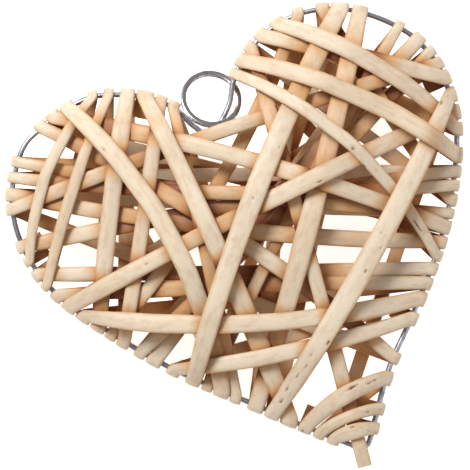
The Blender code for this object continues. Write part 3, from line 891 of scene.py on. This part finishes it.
def sweep_tree():
    """Sweeps a squared-off circle along a path, and coats its wall and its ends."""
    tree, given, leave = new_tree("Section along a path", "GeometryNodeTree", [
        ("Path", "Geometry", None),
        ("Sides", "Int", 20),
        ("Across Power", "Float", 1.0),
        ("Top Power", "Float", 1.0),
        ("Bottom Power", "Float", 1.0),
        ("Ridges", "Float", 0.0),
        ("Closed", "Bool", False),
        ("Material", "Material", None),
        ("End Material", "Material", None),
    ], [("Geometry", "Geometry")])
    curve = add(tree, "GeometryNodeMeshToCurve", {"Mesh": given["Path"]}).outputs["Curve"]
    circle = add(tree, "GeometryNodeCurvePrimitiveCircle", {"Resolution": given["Sides"], "Radius": 1.0})
    x, y = split(tree, add(tree, "GeometryNodeInputPosition").outputs[0])[:2]
    is_top = maths(tree, "GREATER_THAN", y, 0.0)
    section = combined(tree, signed_power(tree, x, given["Across Power"]), signed_power(
        tree, y, between(tree, is_top, given["Bottom Power"], given["Top Power"])))
    swept = add(tree, "GeometryNodeCurveToMesh", {
        "Curve": curve, "Profile Curve": stored(tree, circle.outputs["Curve"], "section", section),
        "Fill Caps": maths(tree, "SUBTRACT", 1.0, given["Closed"])}).outputs["Mesh"]
    across, up = split(tree, named(tree, "section"))[:2]
    side, crown = named(tree, "side"), named(tree, "crown")
    wide, high = scaled(tree, side, across), scaled(tree, crown, up)
    place = vector_maths(tree, "ADD", named(tree, "place"), vector_maths(tree, "ADD", wide, high))
    placed = add(tree, "GeometryNodeSetPosition", {"Geometry": swept, "Position": place}).outputs[0]
    grain = combined(tree, named(tree, "along", "FLOAT"),
                     maths(tree, "MULTIPLY", across, vector_maths(tree, "LENGTH", side)),
                     maths(tree, "MULTIPLY", up, vector_maths(tree, "LENGTH", crown)))
    marked = stored(tree, placed, "grain", grain)
    stretched = vector_maths(tree, "MULTIPLY", named(tree, "grain"), RIDGE_STRETCH)
    ridge = swing(tree, noise(tree, stretched, 1.0, 2.0), given["Ridges"])
    push = scaled(tree, add(tree, "GeometryNodeInputNormal").outputs[0], ridge)
    ridged = add(tree, "GeometryNodeSetPosition", {"Geometry": marked, "Offset": push}).outputs[0]
    corners = add(tree, "GeometryNodeInputMeshFaceNeighbors").outputs["Vertex Count"]
    is_end = maths(tree, "GREATER_THAN", corners, WALL_CORNERS)
    smooth = add(tree, "GeometryNodeSetShadeSmooth", {
        "Geometry": ridged, "Shade Smooth": maths(tree, "SUBTRACT", 1.0, is_end)}).outputs[0]
    whole = add(tree, "GeometryNodeRealizeInstances", {"Geometry": smooth}).outputs[0]
    walled = coated(tree, whole, given["Material"])
    feed(tree, leave, {"Geometry": coated(tree, walled, given["End Material"], is_end)})
    return tree


def put_in_scene(name, data):
    """A new object with this mesh, light or camera, at the origin."""
    made = bpy.data.objects.new(name, data)
    bpy.context.scene.collection.objects.link(made)
    return made


def run_tree(tree, name, start, values):
    """Runs a tree on a mesh and gives the result back as a plain mesh object at the origin."""
    holder = put_in_scene(name + "_path", start)
    modifier = holder.modifiers.new(tree.name, "NODES")
    modifier.node_group = tree
    for item in tree.interface.items_tree:
        if item.item_type == "SOCKET" and item.in_out == "INPUT" and item.name in values:
            modifier[item.identifier] = values[item.name]
    graph = bpy.context.evaluated_depsgraph_get()
    mesh = bpy.data.meshes.new_from_object(holder.evaluated_get(graph), preserve_all_data_layers=True,
                                           depsgraph=graph)
    mesh.name = name
    made = put_in_scene(name, mesh)
    bpy.data.objects.remove(holder)
    bm = bmesh.new()
    bm.from_mesh(mesh)
    if bm.calc_volume(signed=True) < 0:
        bmesh.ops.reverse_faces(bm, faces=bm.faces)
        bm.to_mesh(mesh)
    bm.free()
    return made


def path_mesh(name, place, side, crown, along, closed=False, **extra):
    """A chain of points, in metres, with what a section needs to follow it."""
    count = len(place)
    edges = [(i, i + 1) for i in range(count - 1)] + ([(count - 1, 0)] if closed else [])
    mesh = bpy.data.meshes.new(name)
    mesh.from_pydata([tuple(p * MM) for p in place], edges, [])
    for label, values in (("place", place), ("side", side), ("crown", crown)):
        layer = mesh.attributes.new(label, "FLOAT_VECTOR", "POINT")
        layer.data.foreach_set("vector", (np.asarray(values) * MM).astype(np.float32).ravel())
    for label, values in (("along", along * MM), *extra.items()):
        layer = mesh.attributes.new(label, "FLOAT", "POINT")
        layer.data.foreach_set("value", np.asarray(values, dtype=np.float32))
    return mesh


sweep = sweep_tree()
print("the sweep tree has", len(sweep.nodes), "nodes")

# %% [markdown]
# ## How willow looks
# Peeled and split willow runs from pale cream to tan. Fine streaks and short dark flecks run along it, so
# the pattern must follow each strip and not the room. It reads the strip's own grain attribute: the way
# along it, across it and up through it, in metres. The same group serves the bark side and the cut ends with
# other values.

# %% The grain group
# Each pattern's share of the streaks' length, its share of their width, and its detail
PATTERNS = {
    "coarse": (1.0, 1.0, 4.0), "fine": (0.35, 0.3, 2.0), "fleck": (0.06, 0.75, 2.0),
    "blotch": (1.1, 7.0, 1.0), "bloom": (0.16, 3.2, 3.0), "speck": (0.022, 0.5, 1.0),
}
FINE_SHARE = 0.35
BLOOM_EDGE, SPECK_EDGE = (0.48, 0.66), (0.71, 0.78)
FLECK_LEVEL, FLECK_LEVEL_DROP, FLECK_EDGE = 0.86, 0.3, 0.08


def grain_group():
    """Streaks, flecks and blotches that run along a strip, and a height for its bump."""
    tree, given, leave = new_tree("Willow grain", "ShaderNodeTree", [
        ("Grain", "Vector", (0.0, 0.0, 0.0)),
        ("Streak Width", "Float", 0.0007),
        ("Streak Length", "Float", 0.03),
        ("Fleck Amount", "Float", 0.3),
    ], [("Streaks", "Float"), ("Flecks", "Float"), ("Blotches", "Float"),
        ("Bloom", "Float"), ("Specks", "Float"), ("Height", "Float")])

    def pattern(name):
        """Noise drawn out along the grain."""
        length_share, width_share, detail = PATTERNS[name]
        along = maths(tree, "MULTIPLY", given["Streak Length"], length_share)
        across = maths(tree, "MULTIPLY", given["Streak Width"], width_share)
        vector = vector_maths(tree, "DIVIDE", given["Grain"], combined(tree, along, across, across))
        return noise(tree, vector, 1.0, detail)

    streaks = between(tree, FINE_SHARE, pattern("coarse"), pattern("fine"))
    level = maths(tree, "MULTIPLY_ADD", given["Fleck Amount"], -FLECK_LEVEL_DROP, FLECK_LEVEL)
    flecks = mapped(tree, pattern("fleck"), level, maths(tree, "ADD", level, FLECK_EDGE))
    feed(tree, leave, {
        "Streaks": streaks,
        "Flecks": flecks,
        "Blotches": pattern("blotch"),
        "Bloom": mapped(tree, pattern("bloom"), *BLOOM_EDGE),
        "Specks": mapped(tree, pattern("speck"), *SPECK_EDGE),
        "Height": maths(tree, "SUBTRACT", streaks, maths(tree, "MULTIPLY", flecks, 0.5)),
    })
    return tree


willow_grain = grain_group()
print("grain group outputs", [socket.name for socket in willow_grain.interface.items_tree if
                              socket.in_out == "OUTPUT"])

# %% [markdown]
# ## Knots and splits
# A side twig that was cut off leaves a knot, and a strip that dried too fast has a split, a longer dark
# slit along the grain. Both are dark ovals with ragged edges, so one group makes them. It takes a place, a
# way along the strip, a length and a width, and is set once for each mark.

# %% The mark group
MARK_DEPTH = 0.0025
RAGGED_SCALE = 1100.0
RAGGEDNESS = 1.3
# From the first distance to the second, in shares of the mark's size, a mark and its dent grow to their full
MASK_EDGE, DENT_EDGE = (1.1, 0.35), (1.6, 0.6)


def mark_group():
    """A ragged dark oval at one place on a strip, and a dent for its bump."""
    tree, given, leave = new_tree("Willow mark", "ShaderNodeTree", [
        ("Position", "Vector", (0.0, 0.0, 0.0)),
        ("Centre", "Vector", (0.0, 0.0, 0.0)),
        ("Along", "Vector", (1.0, 0.0, 0.0)),
        ("Length", "Float", 0.002),
        ("Width", "Float", 0.001),
    ], [("Mask", "Float"), ("Height", "Float")])
    away = vector_maths(tree, "SUBTRACT", given["Position"], given["Centre"])
    across = vector_maths(tree, "CROSS_PRODUCT", given["Along"], (0.0, 0.0, 1.0))
    reaches = (given["Along"], given["Length"]), (across, given["Width"]), ((0.0, 0.0, 1.0), MARK_DEPTH)
    shares = combined(tree, *(maths(tree, "DIVIDE", vector_maths(tree, "DOT_PRODUCT", away, way), size)
                              for way, size in reaches))
    ragged = swing(tree, noise(tree, given["Position"], RAGGED_SCALE, 2.0), RAGGEDNESS)
    far = maths(tree, "ADD", vector_maths(tree, "LENGTH", shares), ragged)
    feed(tree, leave, {"Mask": mapped(tree, far, *MASK_EDGE), "Height": mapped(tree, far, *DENT_EDGE)})
    return tree


willow_mark = mark_group()

# %% Where the marks are
# Millimetres for a pixel, how far the heart is turned in the photograph, and the pixel of its middle
PHOTO_SCALE = 0.42
PHOTO_TURN = np.radians(24.3)
PHOTO_MIDDLE = (237, 238)
MIDDLE_PLACE = np.array([-10, 0]) + SHIFT[:2]


def from_photo(x, y):
    """A place in the photograph, in its pixels, as a place on the heart in millimetres."""
    right, up = (x - PHOTO_MIDDLE[0]) * PHOTO_SCALE, (PHOTO_MIDDLE[1] - y) * PHOTO_SCALE
    cos, sin = np.cos(PHOTO_TURN), np.sin(PHOTO_TURN)
    return MIDDLE_PLACE + (right * cos + up * sin, up * cos - right * sin)


# Each mark: where it is seen in the photograph, its length and width in millimetres, and how dark it is
MARKS = [
    ((363, 167), 1.2, 0.7, 0.9), ((352, 149), 1.3, 0.9, 0.7), ((365, 271), 1.1, 0.6, 0.8),
    ((380, 248), 0.9, 0.6, 0.4), ((380, 233), 0.7, 0.5, 0.4), ((319, 182), 1.6, 0.35, 1.0),
    ((253, 199), 0.9, 0.5, 0.5), ((279, 148), 0.9, 0.5, 0.4), ((88, 322), 1.3, 0.6, 0.8),
    ((419, 229), 6.0, 0.55, 1.0), ((303, 195), 1.3, 0.6, 0.8), ((241, 137), 1.2, 0.4, 0.4),
    ((147, 264), 0.8, 0.5, 0.6), ((441, 103), 1.2, 0.7, 0.8), ((291, 94), 1.0, 0.5, 0.5),
    ((395, 96), 1.0, 0.5, 0.6), ((104, 150), 1.2, 0.5, 0.5), ((200, 250), 1.0, 0.5, 0.4),
    ((328, 342), 1.5, 0.7, 0.9), ((297, 376), 1.3, 0.6, 0.8), ((287, 389), 1.5, 0.6, 0.9),
    ((281, 401), 1.4, 0.7, 0.9), ((352, 387), 3.0, 0.8, 1.0), ((369, 383), 1.5, 0.5, 0.9),
    ((375, 380), 1.2, 0.5, 0.8), ((368, 412), 1.3, 0.6, 0.9), ((380, 410), 1.0, 0.5, 0.8),
    ((352, 427), 1.2, 0.6, 0.7), ((311, 355), 1.0, 0.4, 0.6), ((306, 366), 1.2, 0.4, 0.7),
    ((303, 431), 0.8, 0.7, 0.9),
]
MARK_REACH = 3.4

# A strip's top at each station: place, way along and half thickness
tops = np.vstack([np.hstack([place, np.gradient(place, axis=0), crown]) for place, _, crown, _, _ in paths])
tops = tops[tops[:, 8] > 0]
marks = []
for spot, length, width, dark in MARKS:
    x, y = from_photo(*spot)
    near = tops[np.linalg.norm(tops[:, :2] - (x, y), axis=1) < MARK_REACH]
    top = near[near[:, 2].argmax()]
    along = unit(np.array([top[3], top[4], 0]))
    marks.append((Vector((x, y, top[2] + top[8])) * MM, along, length * MM, width * MM, dark))
print(len(marks), "marks, each on the strip that lies on top there")

# %% [markdown]
# ## The willow's finish
# The Principled BSDF stands in the material itself. Its colour runs from cream to tan with the strip's own
# tone, is painted with shade, darker and browner, where a strip lies deep in the winding and towards its
# sides, and darkens at flecks and knots. The more weathered it is, the more flecks it has. Split wood is
# matt, so roughness follows the streaks, and one bump gives both the fibres and the soft rounding of a strip
# from its middle to its edges.

# %% The willow materials
# Painted shade: the colours that the shade, from 0 in the open to 1 deep in the winding, multiplies the
# willow by
SHADE_COLOURS = [(0.18, (1.0, 1.0, 1.0)), (0.50, (0.88, 0.59, 0.33)), (0.80, (0.32, 0.095, 0.022))]
BLOOM_COLOUR, FLECK_COLOUR, MARK_COLOUR = (0.84, 0.74, 0.68), (0.34, 0.13, 0.04), (0.19, 0.065, 0.018)
BLOTCH_SHARE, STREAK_SHARE, BLOOM_SHARE, FLECK_SHARE, SPECK_SHARE = 1.1, 0.9, 0.55, 0.75, 0.55
# Painted shade towards a strip's sides: from this share of the half width outwards, the colour is multiplied
# towards the shade colour, up to this amount
EDGE_SHADE_FROM, EDGE_SHADE_AMOUNT = 0.62, 0.8
# Up through the section, the inner face's shade gives way to the bark side's between these two
BARK_SIDE = (-0.6, 0.2)
LEAST_ROUGHNESS, ROUGHNESS_SPREAD = 0.4, 0.3
TONE_MIDDLE, TONE_SPREAD = 0.36, 0.2
WEATHERED_FLECKS = 0.22
ROUNDING = 2.6
DENT = 2.0
BUMP_STRENGTH, BUMP_DISTANCE = 0.55, 0.00018


def attribute(tree, name, output="Fac"):
    """An attribute as a material reads it."""
    return add(tree, "ShaderNodeAttribute", attribute_name=name).outputs[output]


def colour_ramp(tree, value, stops):
    """The colour that the value stands for between stops of (value, colour)."""
    ramp = add(tree, "ShaderNodeValToRGB", {0: value})
    elements = ramp.color_ramp.elements
    for index, (place, colour) in enumerate(stops):
        element = elements[index] if index < len(elements) else elements.new(place)
        element.position, element.color = place, (*colour, 1.0)
    return ramp.outputs[0]


def blend_colour(tree, factor, one, other, blend_type="MIX"):
    """Two colours mixed, or the one multiplied by the other. Either may be a socket."""
    one, other = (colour if isinstance(colour, bpy.types.NodeSocket) else (*colour, 1.0)
                  for colour in (one, other))
    return add(tree, "ShaderNodeMix", {0: factor, 6: one, 7: other},
               data_type="RGBA", blend_type=blend_type, clamp_factor=True).outputs[2]


def new_material(name, roughness, metallic=0.0):
    """A material, its tree and its Principled BSDF."""
    material = bpy.data.materials.new(name)
    material.use_nodes = True
    shader = material.node_tree.nodes["Principled BSDF"]
    shader.inputs["Roughness"].default_value = roughness
    shader.inputs["Metallic"].default_value = metallic
    return material, material.node_tree, shader


def willow_material(name, pale, tan, edge_shade, fleck_amount, marks=()):
    """Split willow: cream to tan along the grain, painted shade where hidden and at its sides, flecks and
    marks.
    """
    material, tree, shader = new_material(name, 0.6)
    flecks = maths(tree, "MULTIPLY_ADD", attribute(tree, "weathered"), WEATHERED_FLECKS, fleck_amount)
    grain = add(tree, "ShaderNodeGroup", {
        "Grain": attribute(tree, "grain", "Vector"), "Fleck Amount": flecks}, node_tree=willow_grain).outputs
    tone = maths(tree, "MULTIPLY_ADD", attribute(tree, "tone"), TONE_SPREAD, TONE_MIDDLE)
    for output, share in (("Blotches", BLOTCH_SHARE), ("Streaks", STREAK_SHARE)):
        tone = maths(tree, "ADD", tone, swing(tree, grain[output], share), clamp=output == "Streaks")
    colour = colour_ramp(tree, tone, [(0.0, pale), (1.0, tan)])

    across, up = split(tree, attribute(tree, "section", "Vector"))[:2]
    # Painted shade: the colour darkens towards a strip's two sides, as if its rounding turned them from the
    # light
    edge_shade_share = add(tree, "ShaderNodeMapRange", {
        "Value": maths(tree, "ABSOLUTE", across), "From Min": EDGE_SHADE_FROM, "From Max": 1.0,
        "To Max": EDGE_SHADE_AMOUNT}, interpolation_type="SMOOTHSTEP").outputs[0]
    colour = blend_colour(tree, edge_shade_share, colour, edge_shade, "MULTIPLY")
    # Painted shade: the colour is multiplied darker and browner where the winding hides the sky over a face
    on_bark = mapped(tree, up, *BARK_SIDE)
    shade = between(tree, on_bark, attribute(tree, "inner_shade"), attribute(tree, "shade"))
    colour = blend_colour(tree, 1.0, colour, colour_ramp(tree, shade, SHADE_COLOURS), "MULTIPLY")
    for output, share, tint, blend_type in (("Bloom", BLOOM_SHARE, BLOOM_COLOUR, "MULTIPLY"),
                                            ("Flecks", FLECK_SHARE, FLECK_COLOUR, "MIX"),
                                            ("Specks", SPECK_SHARE, FLECK_COLOUR, "MIX")):
        colour = blend_colour(tree, maths(tree, "MULTIPLY", grain[output], share), colour, tint, blend_type)

    rounding = maths(tree, "MULTIPLY", maths(tree, "MULTIPLY", across, across), ROUNDING)
    height = maths(tree, "SUBTRACT", grain["Height"], rounding)
    position = add(tree, "ShaderNodeTexCoord").outputs["Object"]
    mask = 0.0
    for centre, along, length, width, dark in marks:
        mark = add(tree, "ShaderNodeGroup", {
            "Position": position, "Centre": centre, "Along": along, "Length": length, "Width": width},
            node_tree=willow_mark).outputs
        mask = maths(tree, "MAXIMUM", maths(tree, "MULTIPLY", mark["Mask"], dark), mask)
        height = maths(tree, "SUBTRACT", height, maths(tree, "MULTIPLY", mark["Height"], DENT))
    bump = add(tree, "ShaderNodeBump", {
        "Strength": BUMP_STRENGTH, "Distance": BUMP_DISTANCE, "Height": height}).outputs[0]
    feed(tree, shader, {
        "Base Color": blend_colour(tree, mask, colour, MARK_COLOUR),
        "Roughness": maths(tree, "MULTIPLY_ADD", grain["Streaks"], ROUGHNESS_SPREAD, LEAST_ROUGHNESS),
        "Normal": bump,
    })
    return material


# %% [markdown]
# ## Metal
# The frame is galvanised wire: grey zinc, dull and blotched. The split ring is plated steel, a little
# brighter and smoother. One group of blotches serves both, with other colours, sizes and roughness. Where
# it is darker the metal is rougher too, as worn zinc and plating are.

# %% The metal group and its two finishes
BLOTCH_EDGE = (0.32, 0.68)


def metal_group():
    """Blotches of light and dark metal, with a roughness and a height that follow them."""
    tree, given, leave = new_tree("Dull metal", "ShaderNodeTree", [
        ("Position", "Vector", (0.0, 0.0, 0.0)),
        ("Blotch Size", "Float", 0.003),
        ("Light", "Color", (0.6, 0.6, 0.6, 1.0)),
        ("Dark", "Color", (0.2, 0.2, 0.2, 1.0)),
        ("Smoothest", "Float", 0.2),
        ("Roughest", "Float", 0.5),
    ], [("Color", "Color"), ("Roughness", "Float"), ("Height", "Float")])
    per_size = maths(tree, "DIVIDE", 1.0, given["Blotch Size"])
    blotches = noise(tree, given["Position"], per_size, 4.0, Roughness=0.65)
    spread = mapped(tree, blotches, *BLOTCH_EDGE)
    feed(tree, leave, {
        "Color": blend_colour(tree, spread, given["Light"], given["Dark"]),
        "Roughness": between(tree, spread, given["Smoothest"], given["Roughest"]),
        "Height": blotches,
    })
    return tree


dull_metal = metal_group()


def metal_material(name, light, dark, smoothest, roughest, blotch_size):
    """The metal group with one piece's values, on a metal shader."""
    material, tree, shader = new_material(name, 0.3, 1.0)
    finish = add(tree, "ShaderNodeGroup", {
        "Position": add(tree, "ShaderNodeTexCoord").outputs["Object"], "Blotch Size": blotch_size,
        "Light": (*light, 1.0), "Dark": (*dark, 1.0), "Smoothest": smoothest, "Roughest": roughest,
    }, node_tree=dull_metal).outputs
    bump = add(tree, "ShaderNodeBump", {"Strength": 0.3, "Distance": 0.0002, "Height": finish["Height"]})
    feed(tree, shader, {
        "Base Color": finish["Color"], "Roughness": finish["Roughness"], "Normal": bump.outputs[0]})
    return material


zinc = metal_material("zinc wire", light=(0.62, 0.64, 0.70), dark=(0.20, 0.21, 0.25), smoothest=0.22,
                      roughest=0.45, blotch_size=0.004)
plate = metal_material("ring plate", light=(0.74, 0.73, 0.77), dark=(0.26, 0.25, 0.29), smoothest=0.18,
                       roughest=0.4, blotch_size=0.003)
print("finishes", zinc.name, "and", plate.name)

# %% [markdown]
# ## Make the pieces
# Each long strip stands for its packed strip, and the wire and the ring for theirs. Every piece keeps the
# place of the solid it stands for, because it is swept along that solid's own path. The strips' grain
# starts at a new place for each strip, so no two have the same pattern.

# %% The strips
STRIP_SIDES = 22
GRAIN_APART = 400
# The third colour is painted shade, which the willow is multiplied by towards each strip's sides
PALE, TAN, EDGE_SHADE = (0.725, 0.625, 0.485), (0.66, 0.50, 0.34), (0.86, 0.68, 0.50)
bark = willow_material("willow", PALE, TAN, EDGE_SHADE, fleck_amount=0.35, marks=marks)
cut = willow_material("willow cut end", (0.80, 0.60, 0.38), (0.56, 0.33, 0.15), EDGE_SHADE, fleck_amount=0.6)

willow = []
for number, (chain, path) in enumerate(zip(strips, paths), 1):
    place, side, crown, along, qualities = path
    start = path_mesh("strip path", place, side, crown, along + GRAIN_APART * number, **qualities)
    piece = run_tree(sweep, f"willow_{number:02d}", start, {
        "Sides": STRIP_SIDES, "Across Power": 0.7, "Top Power": 0.95, "Bottom Power": 0.4, "Ridges": 0.0003,
        "Material": bark, "End Material": cut})
    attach(piece, "root")
    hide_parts(f"willow_strip_{number:02d}")
    willow.append(piece)
print("willow triangles", sum(len(p.data.loop_triangles) or len(p.data.polygons) * 2 for p in willow))

# %% [markdown]
# ## Loose fibres
# Splitting and bending lift a few fibres off a strip's edges. They are thin tapered hairs that lie nearly
# along the strip. A tree scatters them on the strips' edges with a fixed seed, turns each to its strip's
# own way with a small random lean, and makes them plain mesh, which takes the willow's finish.

# %% The fibres
EDGE_SHARE = 0.86
HAIR_SIDES = 5


def fibre_tree():
    """Scatters tapered hairs along the edges of swept strips."""
    tree, given, leave = new_tree("Loose fibres", "GeometryNodeTree", [
        ("Strips", "Geometry", None),
        ("Density", "Float", 1000.0),
        ("Length", "Float", 0.005),
        ("Thickness", "Float", 0.00012),
        ("Lean", "Float", 0.2),
        ("Seed", "Int", 3),
        ("Material", "Material", None),
    ], [("Geometry", "Geometry")])
    across = split(tree, named(tree, "section"))[0]
    is_edge = maths(tree, "GREATER_THAN", maths(tree, "ABSOLUTE", across), EDGE_SHARE)
    points = add(tree, "GeometryNodeDistributePointsOnFaces", {
        "Mesh": given["Strips"], "Selection": is_edge, "Density": given["Density"],
        "Seed": given["Seed"]}).outputs["Points"]
    hair = add(tree, "GeometryNodeMeshCone", {
        "Vertices": HAIR_SIDES, "Radius Top": 0.0, "Radius Bottom": given["Thickness"],
        "Depth": given["Length"]}).outputs["Mesh"]
    way = vector_maths(tree, "CROSS_PRODUCT", named(tree, "side"), named(tree, "crown"))
    way = vector_maths(tree, "NORMALIZE", way)
    lean = add(tree, "FunctionNodeRandomValue", {
        "Min": (-1.0, -1.0, -1.0), "Max": (1.0, 1.0, 1.0), "Seed": given["Seed"]},
        data_type="FLOAT_VECTOR").outputs[0]
    leaning = vector_maths(tree, "ADD", way, scaled(tree, lean, given["Lean"]))
    turned = add(tree, "FunctionNodeAlignRotationToVector", {"Vector": leaning}, axis="Z").outputs[0]
    size = add(tree, "FunctionNodeRandomValue", {
        "Min": 0.4, "Max": 1.2, "Seed": 8}, data_type="FLOAT").outputs[1]
    placed = add(tree, "GeometryNodeInstanceOnPoints", {
        "Points": points, "Instance": hair, "Rotation": turned, "Scale": size}).outputs[0]
    whole = add(tree, "GeometryNodeRealizeInstances", {"Geometry": placed}).outputs[0]
    feed(tree, leave, {"Geometry": coated(tree, whole, given["Material"])})
    return tree


all_strips = bmesh.new()
for piece in willow:
    all_strips.from_mesh(piece.data)
joined = bpy.data.meshes.new("all strips")
all_strips.to_mesh(joined)
all_strips.free()
fibres = run_tree(fibre_tree(), "loose_fibres", joined, {"Density": 4500.0, "Material": bark})
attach(fibres, "root")
print("fibres", len(fibres.data.vertices) // (HAIR_SIDES + 1))

# %% [markdown]
# ## The wire and the ring
# The wire is the same sweep on a closed path, with the plain circle as its section. The ring's path runs
# twice round, and its section is a little squared, as flat spring steel with rolled edges is.

# %% The wire
WIRE_STEP = 1.2
wire_count = int(rim.length / WIRE_STEP)
wire_place = np.array([[*rim.at(100 * k / wire_count), 0.0] for k in range(wire_count)]) + SHIFT
outward = np.array([[*-rim.inward(100 * k / wire_count), 0.0] for k in range(wire_count)])
radius = WIRE_DIAMETER / 2
start = path_mesh("wire path", wire_place, outward * radius, np.tile([0, 0, radius], (wire_count, 1)),
                  np.arange(wire_count) * WIRE_STEP, closed=True)
wire = run_tree(sweep, "wire", start, {"Sides": 20, "Closed": True, "Material": zinc, "End Material": zinc})
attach(wire, "root")
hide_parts("wire_heart")
print("wire", [round(v * 1000, 1) for v in wire.dimensions], "mm")

# %% The split ring
RING_FINE_ANGLE = 3.0
RING_SQUARING = 0.8
ring_place, ring_half, ring_normal = (np.array(column) for column in zip(*ring.stations(RING_FINE_ANGLE)))
start = path_mesh("ring path", ring_place + SHIFT, ring_half, ring_normal * RING_BAND_HEIGHT / 2,
                  travelled(ring_place))
split_ring = run_tree(sweep, "split_ring_coil", start, {
    "Sides": 28, "Across Power": RING_SQUARING, "Top Power": RING_SQUARING, "Bottom Power": RING_SQUARING,
    "Material": plate, "End Material": plate})
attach(split_ring, "root")
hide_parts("split_ring")
print("ring", [round(v * 1000, 1) for v in split_ring.dimensions], "mm")

# %% [markdown]
# ## Floor, light and camera
# The heart lies on a pale floor under soft light from the upper left. The photograph looks straight at its
# front, with the heart turned in the frame, so the camera looks straight down and is turned instead.

# %% Floor and light
FRAME_PIXELS = 470
half_height = (cad_box[0][2] + cad_box[1][2]) / 2
centre = np.array([*from_photo(FRAME_PIXELS / 2, FRAME_PIXELS / 2) * MM, half_height])
up = np.array([np.sin(PHOTO_TURN), np.cos(PHOTO_TURN), 0.0])
right = np.array([np.cos(PHOTO_TURN), -np.sin(PHOTO_TURN), 0.0])

floor_mesh = bpy.data.meshes.new("floor")
bm = bmesh.new()
bmesh.ops.create_grid(bm, x_segments=1, y_segments=1, size=3.0)
bm.to_mesh(floor_mesh)
bm.free()
floor = put_in_scene("floor", floor_mesh)
paper, tree, shader = new_material("pale floor", 0.9)
feed(tree, shader, {
    "Base Color": (0.93, 0.93, 0.93, 1.0), "Emission Color": (1.0, 1.0, 1.0, 1.0), "Emission Strength": 0.7})
floor_mesh.materials.append(paper)


def soft_light(name, offset, size, watts):
    """An area light that looks at the heart. The offset is to the photograph's right, to its top, and up."""
    light = bpy.data.lights.new(name, "AREA")
    light.shape, light.size, light.energy = "DISK", size, watts
    lamp = put_in_scene(name, light)
    way = right * offset[0] + up * offset[1] + np.array([0, 0, offset[2]])
    lamp.location = centre + way
    lamp.rotation_euler = Vector(-way).to_track_quat("-Z", "Y").to_euler()


soft_light("key", (-0.5, 0.6, 1.0), size=0.45, watts=16.5)
soft_light("fill", (0.8, -0.3, 0.9), size=1.2, watts=3)
world = bpy.data.worlds.new("studio")
world.use_nodes = True
backdrop = world.node_tree.nodes["Background"]
feed(world.node_tree, backdrop, {"Color": (1.0, 0.94, 0.86, 1.0), "Strength": 0.28})
bpy.context.scene.world = world
bpy.context.scene.view_settings.view_transform = "Standard"

# %% Camera
LENS, SENSOR = 600.0, 36.0
lens = bpy.data.cameras.new("camera")
lens.lens, lens.sensor_width = LENS, SENSOR
camera = put_in_scene("camera", lens)
height = FRAME_PIXELS * PHOTO_SCALE * MM * LENS / SENSOR
camera.location = centre + np.array([0, 0, height])
camera.rotation_euler = (0, 0, -PHOTO_TURN)
bpy.context.scene.camera = camera
print("camera", round(height, 3), "m above the heart")
